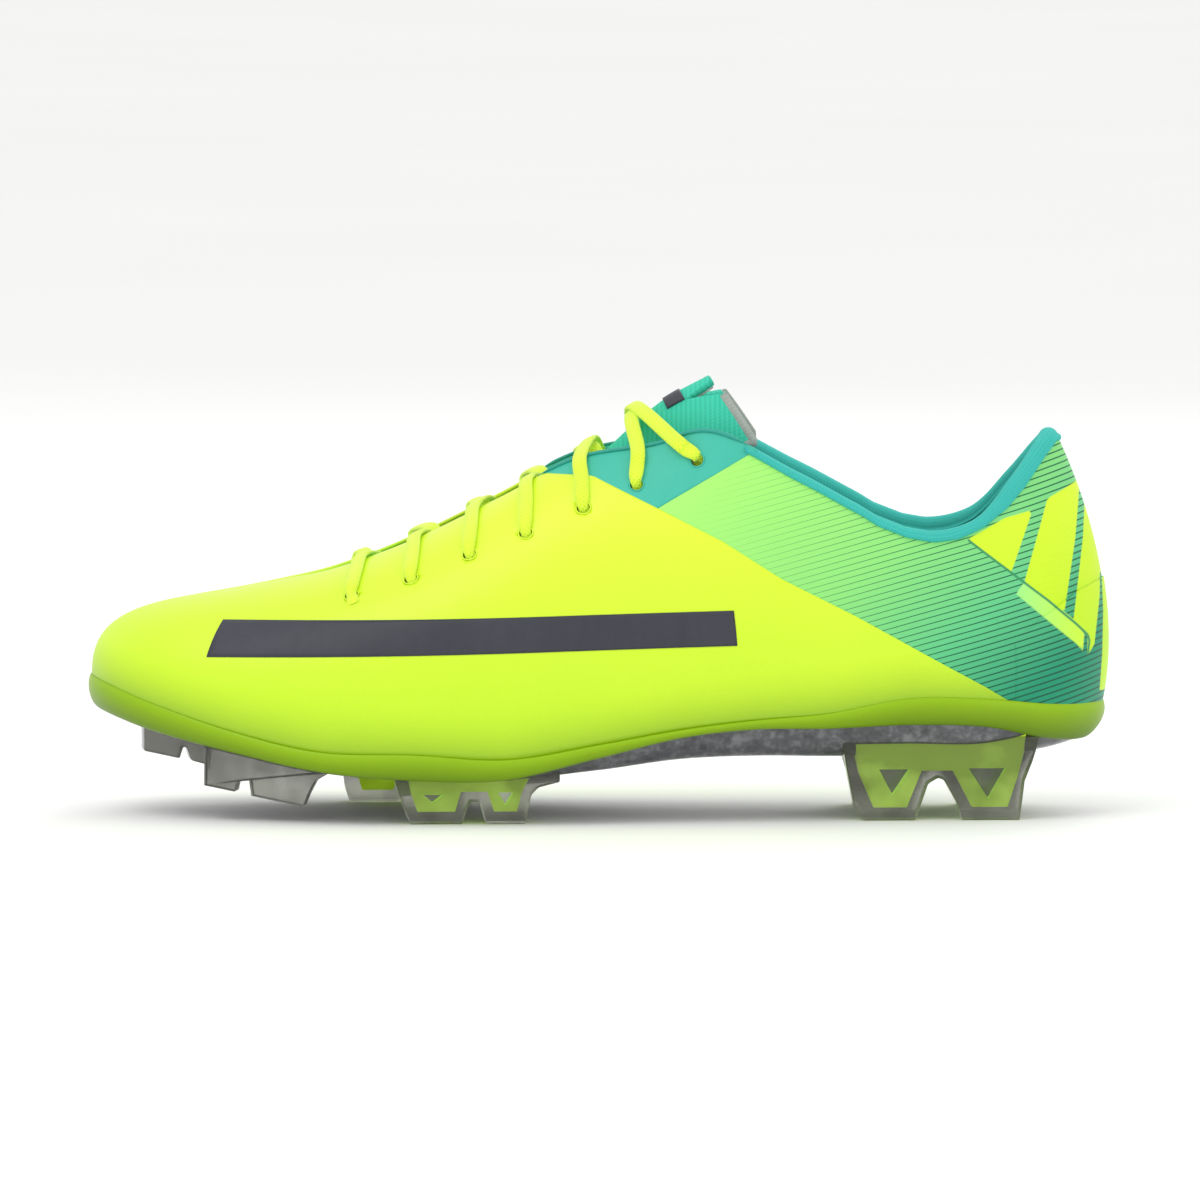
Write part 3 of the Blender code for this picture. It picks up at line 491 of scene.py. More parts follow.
COLLAR_KNIT = knit("turquoise_lining", "#3FC6BA", "#2DAFA3", 1700, depth=0.00007)
TONGUE_KNIT = knit("teal_knit", "#44DCBA", "#28B496", 2100, ribs=760, depth=0.00020)
PALE_KNIT = knit("pale_lining", "#CBD2C8", "#A9B1A8", 800)
SOCK_CLOTH = knit("sockliner_cloth", "#3FBFB4", "#23958B", 500)
BINDING = knit("tongue_binding", "#C6CDC4", "#9DA69E", 900)
print("tongue ribs are", round(1000 / 760, 2), "mm apart")


# %% Lace weave
def lace_weave():
    """A flat woven tube: two sets of diagonal threads, from the sum and the difference of the map."""
    # The emission is a painted glow that brightens the neon lace.
    f = Finish("neon_lace", roughness=0.6, sheen_weight=0.3, sheen_roughness=0.4, emission_strength=0.10,
               emission_color=tint("#DDFF40"))
    u, v = f.uv()
    one = (u * 900 + v * 9).wave()
    two = (u * 900 - v * 9).wave()
    over = one.math("MAXIMUM", two)
    tone = (over * 0.7 + f.noise(90, 2) * 0.4).clamp()
    f.bump(over, 0.00025, 0.7)
    return f.feed(base_color=f.mix(tone, tint("#C0E61A"), tint("#E0F636")), roughness=over * 0.2 + 0.5)


LACE_WEAVE = lace_weave()
print("lace finish:", LACE_WEAVE.name)

# %% [markdown]
# ## Moulded finishes
# The rim is a glossy plastic in the same neon, the plate is a composite with chopped fibres that
# show as grey flecks, and the blades are smoked, see-through urethane over cores of neon plastic.
# %% Plastics
def moulded(name, first, second, rough, flecks, **numbers):
    """A plastic with slow clouds of two tones, mould haze in the roughness and fine scuffs."""
    f = Finish(name, **numbers)
    cloud = f.noise(flecks, 4)
    haze = f.noise(1400, 3)
    scuff = f.noise(300, 2, f.stretched((0.12, 1.0, 1.0)))
    f.bump(haze * 0.5 + scuff * 0.5, 0.00006, 0.5)
    return f.feed(base_color=f.mix((cloud * 1.6 - 0.3).clamp(), tint(first), tint(second)),
                  roughness=haze * 0.14 + scuff * 0.1 + rough)


def rim_plastic():
    """The rim: lime at its lip, like the skin above, and an olive plastic towards the plate that darkens
    further as it turns under, a painted shade, with a faint haze.
    """
    f = Finish("rim_plastic", coat_weight=0.04, coat_roughness=0.3, specular_ior_level=0.25)
    cloud = f.noise(40, 4)
    haze = f.noise(1400, 3)
    # Painted shade: the deeper a point lies below the foot of the upper, the darker the olive.
    color = f.ramp(f.attribute("drop") * 110 + (cloud - 0.5) * 0.15, (0.0, tint("#8FB804")),
                   (0.25, tint("#82A800")), (0.7, tint("#6A8C00")), (1.0, tint("#5A7800")))
    f.bump(haze, 0.00006, 0.4)
    return f.feed(base_color=color, roughness=haze * 0.14 + 0.32)


def smoked():
    """Smoked urethane: dark and cloudy at the root, clearer towards the tip, see-through all over."""
    f = Finish("smoked_stud", transmission_weight=0.82, ior=1.42, specular_ior_level=0.4)
    cloud = f.noise(130, 5)
    haze = f.noise(1400, 3)
    tone = ((0.013 - f.axis("z")) * 70 + (cloud - 0.5) * 2.4 + 0.15).clamp()
    f.bump(haze, 0.00005, 0.4)
    return f.feed(base_color=f.mix(tone, tint("#73736E"), tint("#ACACA5")),
                  roughness=haze * 0.14 + 0.07)


RIM_PLASTIC = rim_plastic()
SMOKED = smoked()
# The core's emission is a painted glow, so that it shows bright through the smoked blade.
CORE = moulded("green_core", "#B4DC10", "#C6EC1C", 0.3, 120, emission_strength=0.6,
               emission_color=tint("#B6E010"))
CLEAR_TIP = moulded("clear_aglet", "#C9D88A", "#D9E5A5", 0.1, 300, transmission_weight=0.4)
BOARD = moulded("fibre_board", "#8C8474", "#6E6758", 0.6, 900)
print("plastics:", RIM_PLASTIC.name, SMOKED.name, CORE.name, CLEAR_TIP.name, BOARD.name)


# %% Composite
def composite():
    """Dark glossy resin with pale chopped fibres: stretched noise in two directions, cut at a level."""
    f = Finish("composite_plate", coat_weight=0.35, coat_roughness=0.15)
    one, two = (f.noise(420, 3, f.stretched((1.0, 0.25, 1.0), (0, 0, a))) for a in (0.5, -0.7))
    fibre = one.math("MAXIMUM", two)
    cloud = f.noise(75, 4)
    tone = ((fibre - 0.5) * 2.6 + (cloud - 0.5) * 1.6 + 0.35).clamp()
    f.bump(fibre, 0.00010, 0.5)
    color = f.ramp(tone, (0.0, tint("#44444A")), (0.5, tint("#5C5C62")), (1.0, tint("#828288")))
    return f.feed(base_color=color, roughness=0.38 - tone * 0.12)


PLATE = composite()
print("finishes made:", len(bpy.data.materials))

# %% [markdown]
# ## Making a piece
# Every surface is a grid of points from a numpy function. One helper joins the grid's rows and columns
# into quads, wraps it where the grid closes on itself, and writes the map that the cloths read.
# %% Mesh steps
def worked(mesh, *steps):
    """Open a mesh for editing, run each step on it, and write it back."""
    shape = bmesh.new()
    shape.from_mesh(mesh)
    for step in steps:
        step(shape)
    shape.to_mesh(mesh)
    shape.free()


def weld_within(distance):
    """The step that merges points closer together than a distance."""
    return lambda shape: bmesh.ops.remove_doubles(shape, verts=shape.verts, dist=distance)


def face_out(shape):
    """The step that turns every face of a closed shape outwards."""
    bmesh.ops.recalc_face_normals(shape, faces=shape.faces)


def corners(grid):
    """The values at the four corners of every cell of a grid, in order round the cell."""
    return np.stack([grid[:-1, :-1], grid[1:, :-1], grid[1:, 1:], grid[:-1, 1:]], 2)


def quads_of(rows, columns, wrap):
    """Point numbers of a grid's quads; a grid that wraps one way closes on its first row that way."""
    index = np.arange(rows * columns).reshape(rows, columns)
    return corners(np.pad(index, ((0, wrap[0]), (0, wrap[1])), "wrap")).reshape(-1, 4)


print("quads of a tube of 8 rings and 6 sides:", len(quads_of(8, 6, (False, True))))


# %% Grid to piece
def ridden(made, finish, body, nodes):
    """Gives a mesh object its finish, its CAD body, and the CAD nodes it stands for."""
    made.data.materials.append(finish)
    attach(made, body)
    if nodes:
        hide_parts(*nodes)
    return made


SKIN_WELD, FINE_WELD = 0.00004, 0.00001
made_pieces = {}


def surface(name, points, finish, nodes=(), body="boot", wrap=(False, False), uv=None,
            values=None, caps=False, weld=FINE_WELD):
    """A piece from an (n, m, 3) grid of points in metres; uv is measured along the grid if not given."""
    rows, columns = points.shape[:2]
    if uv is None:
        run = [np.arange(points.shape[a] + wrap[a]) * np.linalg.norm(np.diff(points, axis=a), axis=-1).mean()
               for a in (0, 1)]
        uv = np.stack(np.meshgrid(*run, indexing="ij"), -1)
    faces = quads_of(rows, columns, wrap).tolist()
    corner_uv = corners(uv).reshape(-1, 2)
    if caps:
        first = np.arange(columns)
        faces += [first[::-1].tolist(), (first + (rows - 1) * columns).tolist()]
        corner_uv = np.concatenate([corner_uv, np.zeros((2 * columns, 2))])
    mesh = bpy.data.meshes.new(name)
    mesh.from_pydata(points.reshape(-1, 3).tolist(), [], faces)
    mesh.uv_layers.new(name="UVMap").data.foreach_set("uv", corner_uv.astype(np.float32).ravel())
    for key, numbers in (values or {}).items():
        kept = mesh.attributes.new(key, "FLOAT", "POINT")
        kept.data.foreach_set("value", numbers.astype(np.float32).ravel())
    worked(mesh, weld_within(weld))
    mesh.shade_smooth()
    made_pieces[name] = ridden(linked(name, mesh), finish, body, nodes)
    return made_pieces[name]


def thicken(made, thickness):
    """Give a sheet its wall, on its inner side."""
    change = made.modifiers.new("wall", "SOLIDIFY")
    change.thickness = thickness
    change.offset = -1
    change.use_even_offset = True
    return made


# %% Panels
def panel_grid(first, last, low, high, rows, per_station):
    """Stations and heights of a panel: u even along the ring, v even between its two edges."""
    u = np.linspace(first, last, int(round((last - first) * per_station)) + 1)
    bottom = low(u) if callable(low) else np.full(len(u), float(low))
    top = high(u) if callable(high) else np.full(len(u), float(high))
    t = np.linspace(0, 1, rows + 1)
    return np.repeat(u[:, None], rows + 1, 1), bottom[:, None] + (top - bottom)[:, None] * t


def panel(name, stretch, low, high, lift, thickness, finish, rows, per_station, values=None):
    """A panel of the upper over a stretch of stations, with its lift off the wall and thickness in mm."""
    u, v = panel_grid(*stretch, low, high, rows, per_station)
    lift = lift(u, v) if callable(lift) else np.full(u.shape, float(lift))
    points = off_wall(u, v, lift)
    made = surface(name, points, finish, [name], values=values and values(points), weld=SKIN_WELD)
    return thicken(made, thickness * MM)


def span(side, first, last):
    """The same stretch of stations on the outer (-1) or inner side."""
    return (first, last) if side < 0 else (RING - last, RING - first)


print("quarter of the inner side runs over stations", span(1, 7.9, HEEL))


# %% [markdown]
# ## Front panel and quarters
# The front panel wraps the toe and both sides in one piece, as on a boot that is stretched over a
# last. Where the two sides meet above the toes the grid closes on a ridge line, and the points there
# are merged. The lined quarters butt against the slanting seam, a hair lower, so the seam shows.
# %% Front panel
EYELET_PLACES = {side: [nearest(x, z, side) for x, z in EYELETS] for side in (-1, 1)}
DIMPLE, DIMPLE_WIDE = 0.35, 3.0
SKIN_THICK = 0.9


def soft_dimples(u, v):
    """Lift in mm: minus DIMPLE times e to the minus square of distance / DIMPLE_WIDE, for each eyelet."""
    points = wall(u, v)
    lift = np.zeros(u.shape)
    for side in (-1, 1):
        for place in EYELET_PLACES[side][:FRONT_EYELETS]:
            gap = np.linalg.norm(points - wall(*place), axis=-1)
            lift -= DIMPLE * np.exp(-(gap / DIMPLE_WIDE) ** 2)
    return lift


def rise(points):
    """Height in metres over the foot of the upper, whose height follows x; the neon's painted shade near the
    sole reads it.
    """
    foot = np.interp(points[..., 0] / MM, column["foot_x"], column["foot_z"])
    return {"rise": points[..., 2] - foot * MM}


vamp = panel("vamp", (-VAMP_END, VAMP_END), 0.0, vamp_top, soft_dimples, SKIN_THICK, NEON,
             56, 12, rise)
print("front panel faces", len(vamp.data.polygons))

# %% [markdown]
# ## Printed shapes on the quarter
# The heel carries slanted blocks of plain neon between the lines. Each printed shape is a polygon on
# the side view, and the mesh keeps the distance to its edge as a number at every point, which stays
# sharp however coarse the mesh is.
# %% Quarters
WEDGES = [
    [(99.6, 76.8), (109.8, 82.3), (117.5, 84.2), (111.5, 67.6)],
    [(121.7, 87.0), (131.0, 91.4), (129.4, 76.0), (126.1, 56.3), (115.1, 65.1)],
    [(132.4, 88.0), (131.6, 76.0), (128.6, 53.8), (132.7, 49.6), (132.5, 44.1), (134.6, 47.0), (136.2, 60.0),
     (136.4, 66.0), (150.0, 70.0), (140.0, 90.0)],
]
BACK_STRIP = [(136.2, 34.0), (136.9, 44.0), (137.2, 56.0), (136.8, 67.0), (160.0, 67.0), (160.0, 34.0)]
HEM = [(60.0, 107.1), (99.6, 76.8), (104.3, 73.2), (111.7, 67.6), (121.7, 59.9), (129.4, 53.2), (132.7, 49.9),
       (133.2, 48.4), (132.7, 44.4), (130.5, 20.0)]
BEHIND_HEM = [(200.0, 20.0), (200.0, 150.0), (60.0, 150.0)]
STRIP = [(112.5, 62.0), (115.5, 66.0), (129.0, 54.5), (132.0, 50.5), (131.5, 45.0), (129.5, 47.5)]


def to_segments(x, z, points):
    """Distance in mm from (x, z) to the nearest part of a polyline."""
    found = np.full(x.shape, 1e3)
    for (ax, az), (bx, bz) in zip(points[:-1], points[1:]):
        length = (bx - ax) ** 2 + (bz - az) ** 2
        t = np.clip(((x - ax) * (bx - ax) + (z - az) * (bz - az)) / length, 0, 1)
        found = np.minimum(found, np.hypot(x - ax - t * (bx - ax), z - az - t * (bz - az)))
    return found


def inside(x, z, polygon):
    """Distance in mm to a polygon's edge, positive inside; a ray's crossings decide which."""
    odd = np.zeros(x.shape, bool)
    for (ax, az), (bx, bz) in zip(polygon, polygon[1:] + polygon[:1]):
        if az != bz:
            odd ^= ((az > z) != (bz > z)) & (x < ax + (z - az) * (bx - ax) / (bz - az))
    return np.where(odd, 1, -1) * to_segments(x, z, polygon + polygon[:1])


def prints(points):
    """The printed shapes at each point of a panel, as distances in metres."""
    x, z = points[..., 0] / MM, points[..., 2] / MM
    wedge = np.max([inside(x, z, shape) for shape in WEDGES], 0)
    hem = np.sign(inside(x, z, HEM + BEHIND_HEM)) * to_segments(x, z, HEM)
    return {"wedge": wedge * MM, "strip": inside(x, z, STRIP) * MM, "edge": hem * MM}


def cap_prints(points):
    """The same printed shapes, with a plain strip up the back of the heel."""
    kept = prints(points)
    back = inside(points[..., 0] / MM, points[..., 2] / MM, BACK_STRIP) * MM
    kept["wedge"] = np.maximum(kept["wedge"], back)
    return kept


def quarter_low(u):
    """Lower edge of the quarter: just under the slanting seam, or the foot."""
    return np.maximum(vamp_top(u) - 0.01, 0.0)


def quarter_high(u):
    """Upper edge of the quarter: the eyestay or the collar's seam, whichever is lower."""
    stay = crossing(mirrored(u), EYESTAY_LINE)
    return np.maximum(np.minimum(stay, seam_v(u) + 0.01), quarter_low(u) + 0.002)


def stay_low(u):
    """Lower edge of the eyestay: the slanting seam or the eyestay's own line, whichever is higher."""
    edge = np.maximum(vamp_top(u) - 0.01, crossing(mirrored(u), EYESTAY_LINE) - 0.004)
    return np.minimum(edge, 0.992)


def band_low(u):
    """Lower edge of the side band."""
    return crossing(mirrored(u), BAND_LOW)


def band_high(u):
    """Upper edge of the side band."""
    return crossing(mirrored(u), BAND_HIGH)


def cap_high(u):
    """Upper edge of the heel cap."""
    return crossing(mirrored(u), HEEL_CAP_LINE)


CAP_START = 12.4


def cap_lift(u, v):
    """Lift in mm of the heel print: flush with the quarter at both ends, proud round the back."""
    share = np.clip((mirrored(u) - CAP_START) / 1.4, 0, 1)
    return -0.17 + 0.52 * share ** 2 * (3 - 2 * share)


for side, side_name in SIDES:
    panel(f"quarter_{side_name}", span(side, 7.9, HEEL), quarter_low, quarter_high, -0.18, SKIN_THICK, LINED,
          56, 16, prints)
    panel(f"eyestay_{side_name}", span(side, 6.5, 9.5), stay_low, 1.0, -0.10, SKIN_THICK, TEAL,
          30, 24)
    panel(f"side_band_{side_name}", span(side, 2.6, 8.8), band_low, band_high, 0.16, 0.14, DARK,
          10, 14)
panel("heel_cap", (CAP_START, RING - CAP_START), 0.0, cap_high, cap_lift, 0.5, HEEL_PRINT,
      30, 16, cap_prints)

# %% [markdown]
# ## Linings and stiffeners
# A boot has a second wall inside the first. The forefoot has a pale tricot, the heel a turquoise knit
# over foam. The toe puff, heel counter and lasting board lie between the walls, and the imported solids
# already have their shape, so these only get their finish.
# %% Linings
def lining_high(u):
    """Upper edge of the heel lining: just under the collar's seam."""
    return seam_v(u) - 0.005


LINING_THICK = 0.8
FRONT_LINING_END, HEEL_LINING_START = 9.34, 9.3
panel("forefoot_lining", (-FRONT_LINING_END, FRONT_LINING_END), 0.03, 0.995, -3.1, LINING_THICK, PALE_KNIT,
      30, 8)
panel("heel_lining", (HEEL_LINING_START, RING - HEEL_LINING_START), 0.03, lining_high, -5.0, LINING_THICK,
      COLLAR_KNIT, 30, 8)
for name in ("toe_puff", "heel_counter", "lasting_board"):
    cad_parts[name].data.materials.clear()
    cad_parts[name].data.materials.append(BOARD)
print("lining faces", [len(made_pieces[f"{end}_lining"].data.polygons) for end in ("forefoot", "heel")])


# %% [markdown]
# ## Padded collar
# The collar is foam wrapped in knit: a flat face outside, a full roll over the edge and a soft face
# inside. Its section is one closed loop, carried round the ring of stations. Outside it follows the
# wall with a slight crown, the roll is a half circle as wide as the padding, and the seam pulls in.
# %% Collar
PADDING = 5.6
ROLL = PADDING / 2
PROUD = 0.12
CROWN = 0.55
FACE, TURN = 12, 14


def collar_section(u):
    """Points round the section at each station u: outer face, half-circle roll, inner face."""
    seam = seam_v(u)
    height = np.linalg.norm(wall(u, 1.0) - wall(u, 0.98), axis=-1) / 0.02
    turn_v = np.maximum(1 - ROLL / height, seam + 0.012)
    t = np.linspace(0, 1, FACE, endpoint=False)
    faces = []
    for order, base, sign in ((t, PROUD, 1), (t[::-1] + t[1], -PADDING, -1)):
        v = seam[:, None] + (turn_v - seam)[:, None] * order
        lift = base + sign * CROWN * np.sin(np.pi * np.clip(order, 0, 1)) ** 0.7
        faces.append(off_wall(np.repeat(u[:, None], FACE, 1), v, np.broadcast_to(lift, v.shape)))
    angle = np.linspace(0, np.pi, TURN)
    along, up, out = directions(u, turn_v)
    centre = wall(u, turn_v) + out * (PROUD - ROLL)
    roll = centre[:, None] + ROLL * (np.cos(angle)[None, :, None] * out[:, None]
                                     + np.sin(angle)[None, :, None] * up[:, None])
    return np.concatenate([faces[0], roll * MM, faces[1]], 1)


u_collar = np.linspace(COLLAR_START, RING - COLLAR_START, 181)
collar = surface("collar_binding", collar_section(u_collar), COLLAR_KNIT,
                 ["collar_binding", "collar_foam_lateral", "collar_foam_medial"], wrap=(False, True),
                 caps=True)
print("collar faces", len(collar.data.polygons))

# %% [markdown]
# ## Cords and piping
# A thin rolled edge runs along the throat of the eyestay. It is the same kind of piece as the lace and
# the tongue's binding: a flat oval section carried along a path, so one helper makes all of them.
# %% Cord helper
CORD_SIDES = 14


def sweep(name, path, normals, width, thick, finish, nodes=(), body="boot", taper=None, square=1.0):
    """A flat cord: each ring is centre + half width * cos a * side + half thickness * sin a * normal."""
    tangent = np.gradient(path, axis=0)
    tangent /= np.linalg.norm(tangent, axis=1, keepdims=True)
    normals = normals - tangent * (normals * tangent).sum(1, keepdims=True)
    normals /= np.linalg.norm(normals, axis=1, keepdims=True)
    beside = np.cross(normals, tangent)
    angle = np.arange(CORD_SIDES) * math.tau / CORD_SIDES
    c, s = (np.sign(w) * np.abs(w) ** square for w in (np.cos(angle), np.sin(angle)))
    size = np.ones(len(path)) if taper is None else taper
    points = path[:, None] + size[:, None, None] * (
        width / 2 * c[None, :, None] * beside[:, None] + thick / 2 * s[None, :, None] * normals[:, None])
    run = np.concatenate([[0], np.cumsum(np.linalg.norm(np.diff(path, axis=0), axis=1))])
    uv = np.stack(np.meshgrid(run, np.arange(CORD_SIDES + 1) / CORD_SIDES, indexing="ij"), -1)
    return surface(name, points, finish, nodes, body, (False, True), uv, caps=True)


def smooth_path(points, steps):
    """Catmull-Rom through points, with steps for each stretch."""
    points = np.asarray(points, float)
    ends = np.concatenate([2 * points[:1] - points[1:2], points, 2 * points[-1:] - points[-2:-1]])
    t = np.linspace(0, 1, steps, endpoint=False)[:, None]
    p0, p1, p2, p3 = (ends[k:len(points) - 1 + k, None] for k in range(4))
    curve = p1 + 0.5 * t * (p2 - p0 + t * (2 * p0 - 5 * p1 + 4 * p2 - p3 + t * (3 * (p1 - p2) + p3 - p0)))
    return np.concatenate([curve.reshape(-1, points.shape[1]), points[-1:]])


# %% Piping along the throat
along_piping = np.linspace(0, 1, 80)
taper = np.clip(np.minimum(along_piping, along_piping[::-1]) * 14, 0.1, 1)
for side, side_name in SIDES:
    u = np.linspace(*span(side, 6.5, 9.42), 80)
    path = off_wall(u, np.full(80, 0.998), np.full(80, 0.15))
    sweep(f"throat_piping_{side_name}", path, directions(u, 0.98)[2], 1.1 * MM, 1.0 * MM, PIPING,
          taper=taper)

# %% [markdown]
# ## Tongue
# The tongue is a thin padded knit that wraps the instep and stands up at the ankle. Two notches in
# its top edge leave a pull tab between them. It is a grid of rows along it and points across it, and
# the top row gives way at the notches. A pale binding is carried along each side of its free edge.
# %% Tongue
TONGUE_ROWS = np.array([
    (-69.0, 58.0, 7.0, 2.0, 0.0), (-59.0, 62.5, 10.0, 4.0, 0.0), (-43.5, 70.0, 13.0, 7.0, 0.0),
    (-28.5, 78.6, 15.0, 10.0, 1.0), (-13.0, 88.0, 16.0, 13.5, 3.0), (0.0, 98.0, 14.0, 15.5, 4.0),
    (9.5, 106.6, 12.5, 16.0, 6.0), (18.0, 113.4, 13.0, 16.5, 8.0), (29.5, 119.6, 16.5, 17.0, 12.0)])
TONGUE_TOP = len(TONGUE_ROWS) - 1
ROW_STEPS = 8
TONGUE_CURVE = smooth_path(TONGUE_ROWS, ROW_STEPS)
NOTCH_AT, NOTCH_WIDE, NOTCH_DEEP = 0.40, 0.14, 0.66
BINDING_FROM = 0.56


def tongue_at(row, across):
    """Points in mm: x + back t^2, half-width t, z - drop |t|^2.2, with the rows joined smoothly."""
    at = np.arange(len(TONGUE_CURVE)) / ROW_STEPS
    x, z, half, drop, back = (np.interp(row, at, values) for values in TONGUE_CURVE.T)
    return np.stack([x + back * across ** 2, half * across, z - drop * np.abs(across) ** 2.2], -1)


def tongue_edge(across):
    """The last row at each place across: the top, less a V at each notch."""
    return TONGUE_TOP - NOTCH_DEEP * np.clip(1 - np.abs(np.abs(across) - NOTCH_AT) / NOTCH_WIDE, 0, 1)


def tongue_normal(row, across):
    """Unit vector out of the tongue's upper face, from two short steps."""
    one = tongue_at(row + 0.02, across) - tongue_at(row - 0.02, across)
    two = tongue_at(row, across + 0.01) - tongue_at(row, across - 0.01)
    out = np.cross(one, two)
    return out / np.linalg.norm(out, axis=-1, keepdims=True)


share, across = np.meshgrid(np.linspace(0, 1, 90), np.linspace(-1, 1, 101), indexing="ij")
row = share * tongue_edge(across)
tongue_uv = np.stack([tongue_at(row, across)[..., 0] * MM, across * 0.016], -1)
tongue = surface("tongue", tongue_at(row, across) * MM, TONGUE_KNIT, ["tongue"], "tongue",
                 uv=tongue_uv)
thicken(tongue, 2.0 * MM)
print("tongue faces", len(tongue.data.polygons))

# %% Web ahead of the tongue
WEB_DEPTH, WEB_CROWN = 1.7, 1.2
share, u = np.meshgrid(np.linspace(0, 1, 13), np.linspace(2.7, 4.9, 60), indexing="ij")
outer, inner = (wall(at, 0.95) - directions(at, 0.95)[2] * WEB_DEPTH for at in (u, RING - u))
web = outer + (inner - outer) * share[..., None]
web[..., 2] += WEB_CROWN * np.sin(np.pi * share) ** 2
thicken(surface("throat_base", web[::-1] * MM, TONGUE_KNIT), LINING_THICK * MM)

# %% Tongue lining, binding and patch
share, across = np.meshgrid(np.linspace(0, 1, 40), np.linspace(-0.95, 0.95, 61), indexing="ij")
row = 5.2 + share * (tongue_edge(across) - 5.25)
inner_face = tongue_at(row, across) - tongue_normal(row, across) * 2.15
lining = surface("tongue_lining", inner_face * MM, PALE_KNIT, ["tongue_lining"], "tongue")
thicken(lining, 0.7 * MM)
for side, side_name in SIDES:
    across = side * np.concatenate([np.linspace(BINDING_FROM, 1, 41), np.full(40, 1.0)])
    row = np.concatenate([tongue_edge(across[:41]), np.linspace(TONGUE_TOP, 5.6, 41)[1:]])
    edge_normal = tongue_normal(np.minimum(row, TONGUE_TOP - 0.05), np.clip(across, -0.98, 0.98))
    edge = tongue_at(row, across) - edge_normal * 1.1
    sweep(f"tongue_binding_{side_name}", edge * MM, edge_normal, 2.6 * MM, 2.7 * MM, BINDING,
          body="tongue")
share, across = np.meshgrid(np.linspace(6.92, 7.34, 8), np.linspace(-0.40, 0.40, 17), indexing="ij")
outer_face = tongue_at(share, across) + tongue_normal(share, across) * 0.5
patch = surface("tongue_patch", outer_face * MM, DARK, ["tongue_patch"], "tongue")
thicken(patch, 0.45 * MM)

# %% [markdown]
# ## Lace
# One flat lace runs out of each eyelet, up the outside, over the tongue to the other side, and under
# the edge to the next eyelet. The route is a list of places on the wall, and a flat oval section is
# carried along it. Its flat side follows the wall it lies on, which each place of the route gives.
# %% Lace route
LACE_WIDTH, LACE_THICK = 4.1, 1.5
CROSSINGS = [(-62.0, 71.2), (-46.5, 78.9), (-31.5, 86.5), (-17.0, 94.5), (-2.5, 102.9), (9.0, 112.2)]
OUTSIDE = LACE_THICK / 2 + 0.2
INSIDE = 4.0 + LACE_THICK / 2 + 0.3
EXIT = 0.018
EDGE_V, UNDER_V = 0.975, 0.96
LEAVES_AT, ENTERS_AT, LAST_ENTERS_AT = 0.12, 0.5, 0.72


def tongue_height(point):
    """Height of the tongue's upper face under a point, in mm."""
    row, across = np.meshgrid(np.linspace(0, TONGUE_TOP, 161), np.linspace(-1, 1, 81), indexing="ij")
    points = tongue_at(row, across)
    return points[..., 2].flat[np.argmin(((points[..., :2] - point[:2]) ** 2).sum(-1))]


def lace_half(side):
    """Route and facing of one half of the lace, from inside the first eyelet to inside the last."""
    route, facing = [], []

    def add(point, normal):
        route.append(point)
        facing.append(normal)

    def on_wall(u, v, lift):
        add(wall(u, v) + directions(u, v)[2] * lift, directions(u, v)[2])

    for step, (x, z) in enumerate(CROSSINGS):
        here, there = EYELET_PLACES[side][step], EYELET_PLACES[-side][step + 1]
        last = step == len(CROSSINGS) - 1
        low, high = mirrored(here[0]), mirrored(there[0])
        near = low + LEAVES_AT * (high - low)
        far = low + (LAST_ENTERS_AT if last else ENTERS_AT) * (high - low)
        near, far = (near, RING - far) if side < 0 else (RING - near, far)
        on_wall(*here, -INSIDE)
        on_wall(here[0], here[1] + EXIT, OUTSIDE - 0.5)
        on_wall((here[0] + near) / 2, (here[1] + 0.97) / 2, OUTSIDE)
        on_wall(near, EDGE_V, OUTSIDE + 0.25)
        over = (step % 2 == 0) == (side < 0)
        middle = np.array([x, 0.0, z - LACE_THICK / 2 - (0 if over else LACE_THICK + 0.25)])
        add(middle, np.array([-0.45, 0, 0.9]))
        if last:
            on_wall(far, EDGE_V, OUTSIDE + 0.5)
            on_wall((far + there[0]) / 2, (EDGE_V + there[1]) / 2, OUTSIDE)
            on_wall(there[0], there[1] + EXIT, OUTSIDE - 0.4)
            on_wall(*there, -INSIDE)
        else:
            edge = wall(far, UNDER_V) - directions(far, UNDER_V)[2] * (INSIDE + 0.5)
            shoulder = (middle + edge) / 2
            shoulder[2] = max(shoulder[2], tongue_height(shoulder) + LACE_THICK / 2 + 0.8)
            add(shoulder, np.array([-0.4, 0.3 * -side, 0.87]))
            add(edge, directions(far, UNDER_V)[2])
        side = -side
    end = EYELET_PLACES[side][-1]
    for fall in (0.12, 0.24, 0.34):
        on_wall(end[0], end[1] - fall, -INSIDE - 0.5)
    return np.array(route), np.array(facing)


# %% Lace and its tips
PATH_STEPS, TIP_POINTS = 9, 16
PINCH, PINCH_WIDE = 0.30, 2.2
halves = [lace_half(side) for side, side_name in SIDES]
route, facing = (np.concatenate([halves[0][k][::-1], halves[1][k]]) for k in (0, 1))
path, faces_along = smooth_path(route, PATH_STEPS) * MM, smooth_path(facing, PATH_STEPS)
hole_u, hole_v = np.array([EYELET_PLACES[side] for side, side_name in SIDES]).reshape(-1, 2).T
to_hole = np.linalg.norm(path[:, None] - wall(hole_u, hole_v) * MM, axis=-1).min(1)
pinch = 1 - PINCH * np.exp(-(to_hole / (PINCH_WIDE * MM)) ** 2)
sweep("lace", path, faces_along, LACE_WIDTH * MM, LACE_THICK * MM, LACE_WEAVE, ["lace"],
      taper=pinch, square=0.75)
for name, part in (("aglet_a", slice(None, TIP_POINTS)), ("aglet_b", slice(-TIP_POINTS, None))):
    sweep(name, path[part], faces_along[part], 3.2 * MM, 2.2 * MM, CLEAR_TIP, [name])
    print(name, "length in mm", round(np.linalg.norm(np.diff(path[part], axis=0), axis=1).sum() / MM, 1))
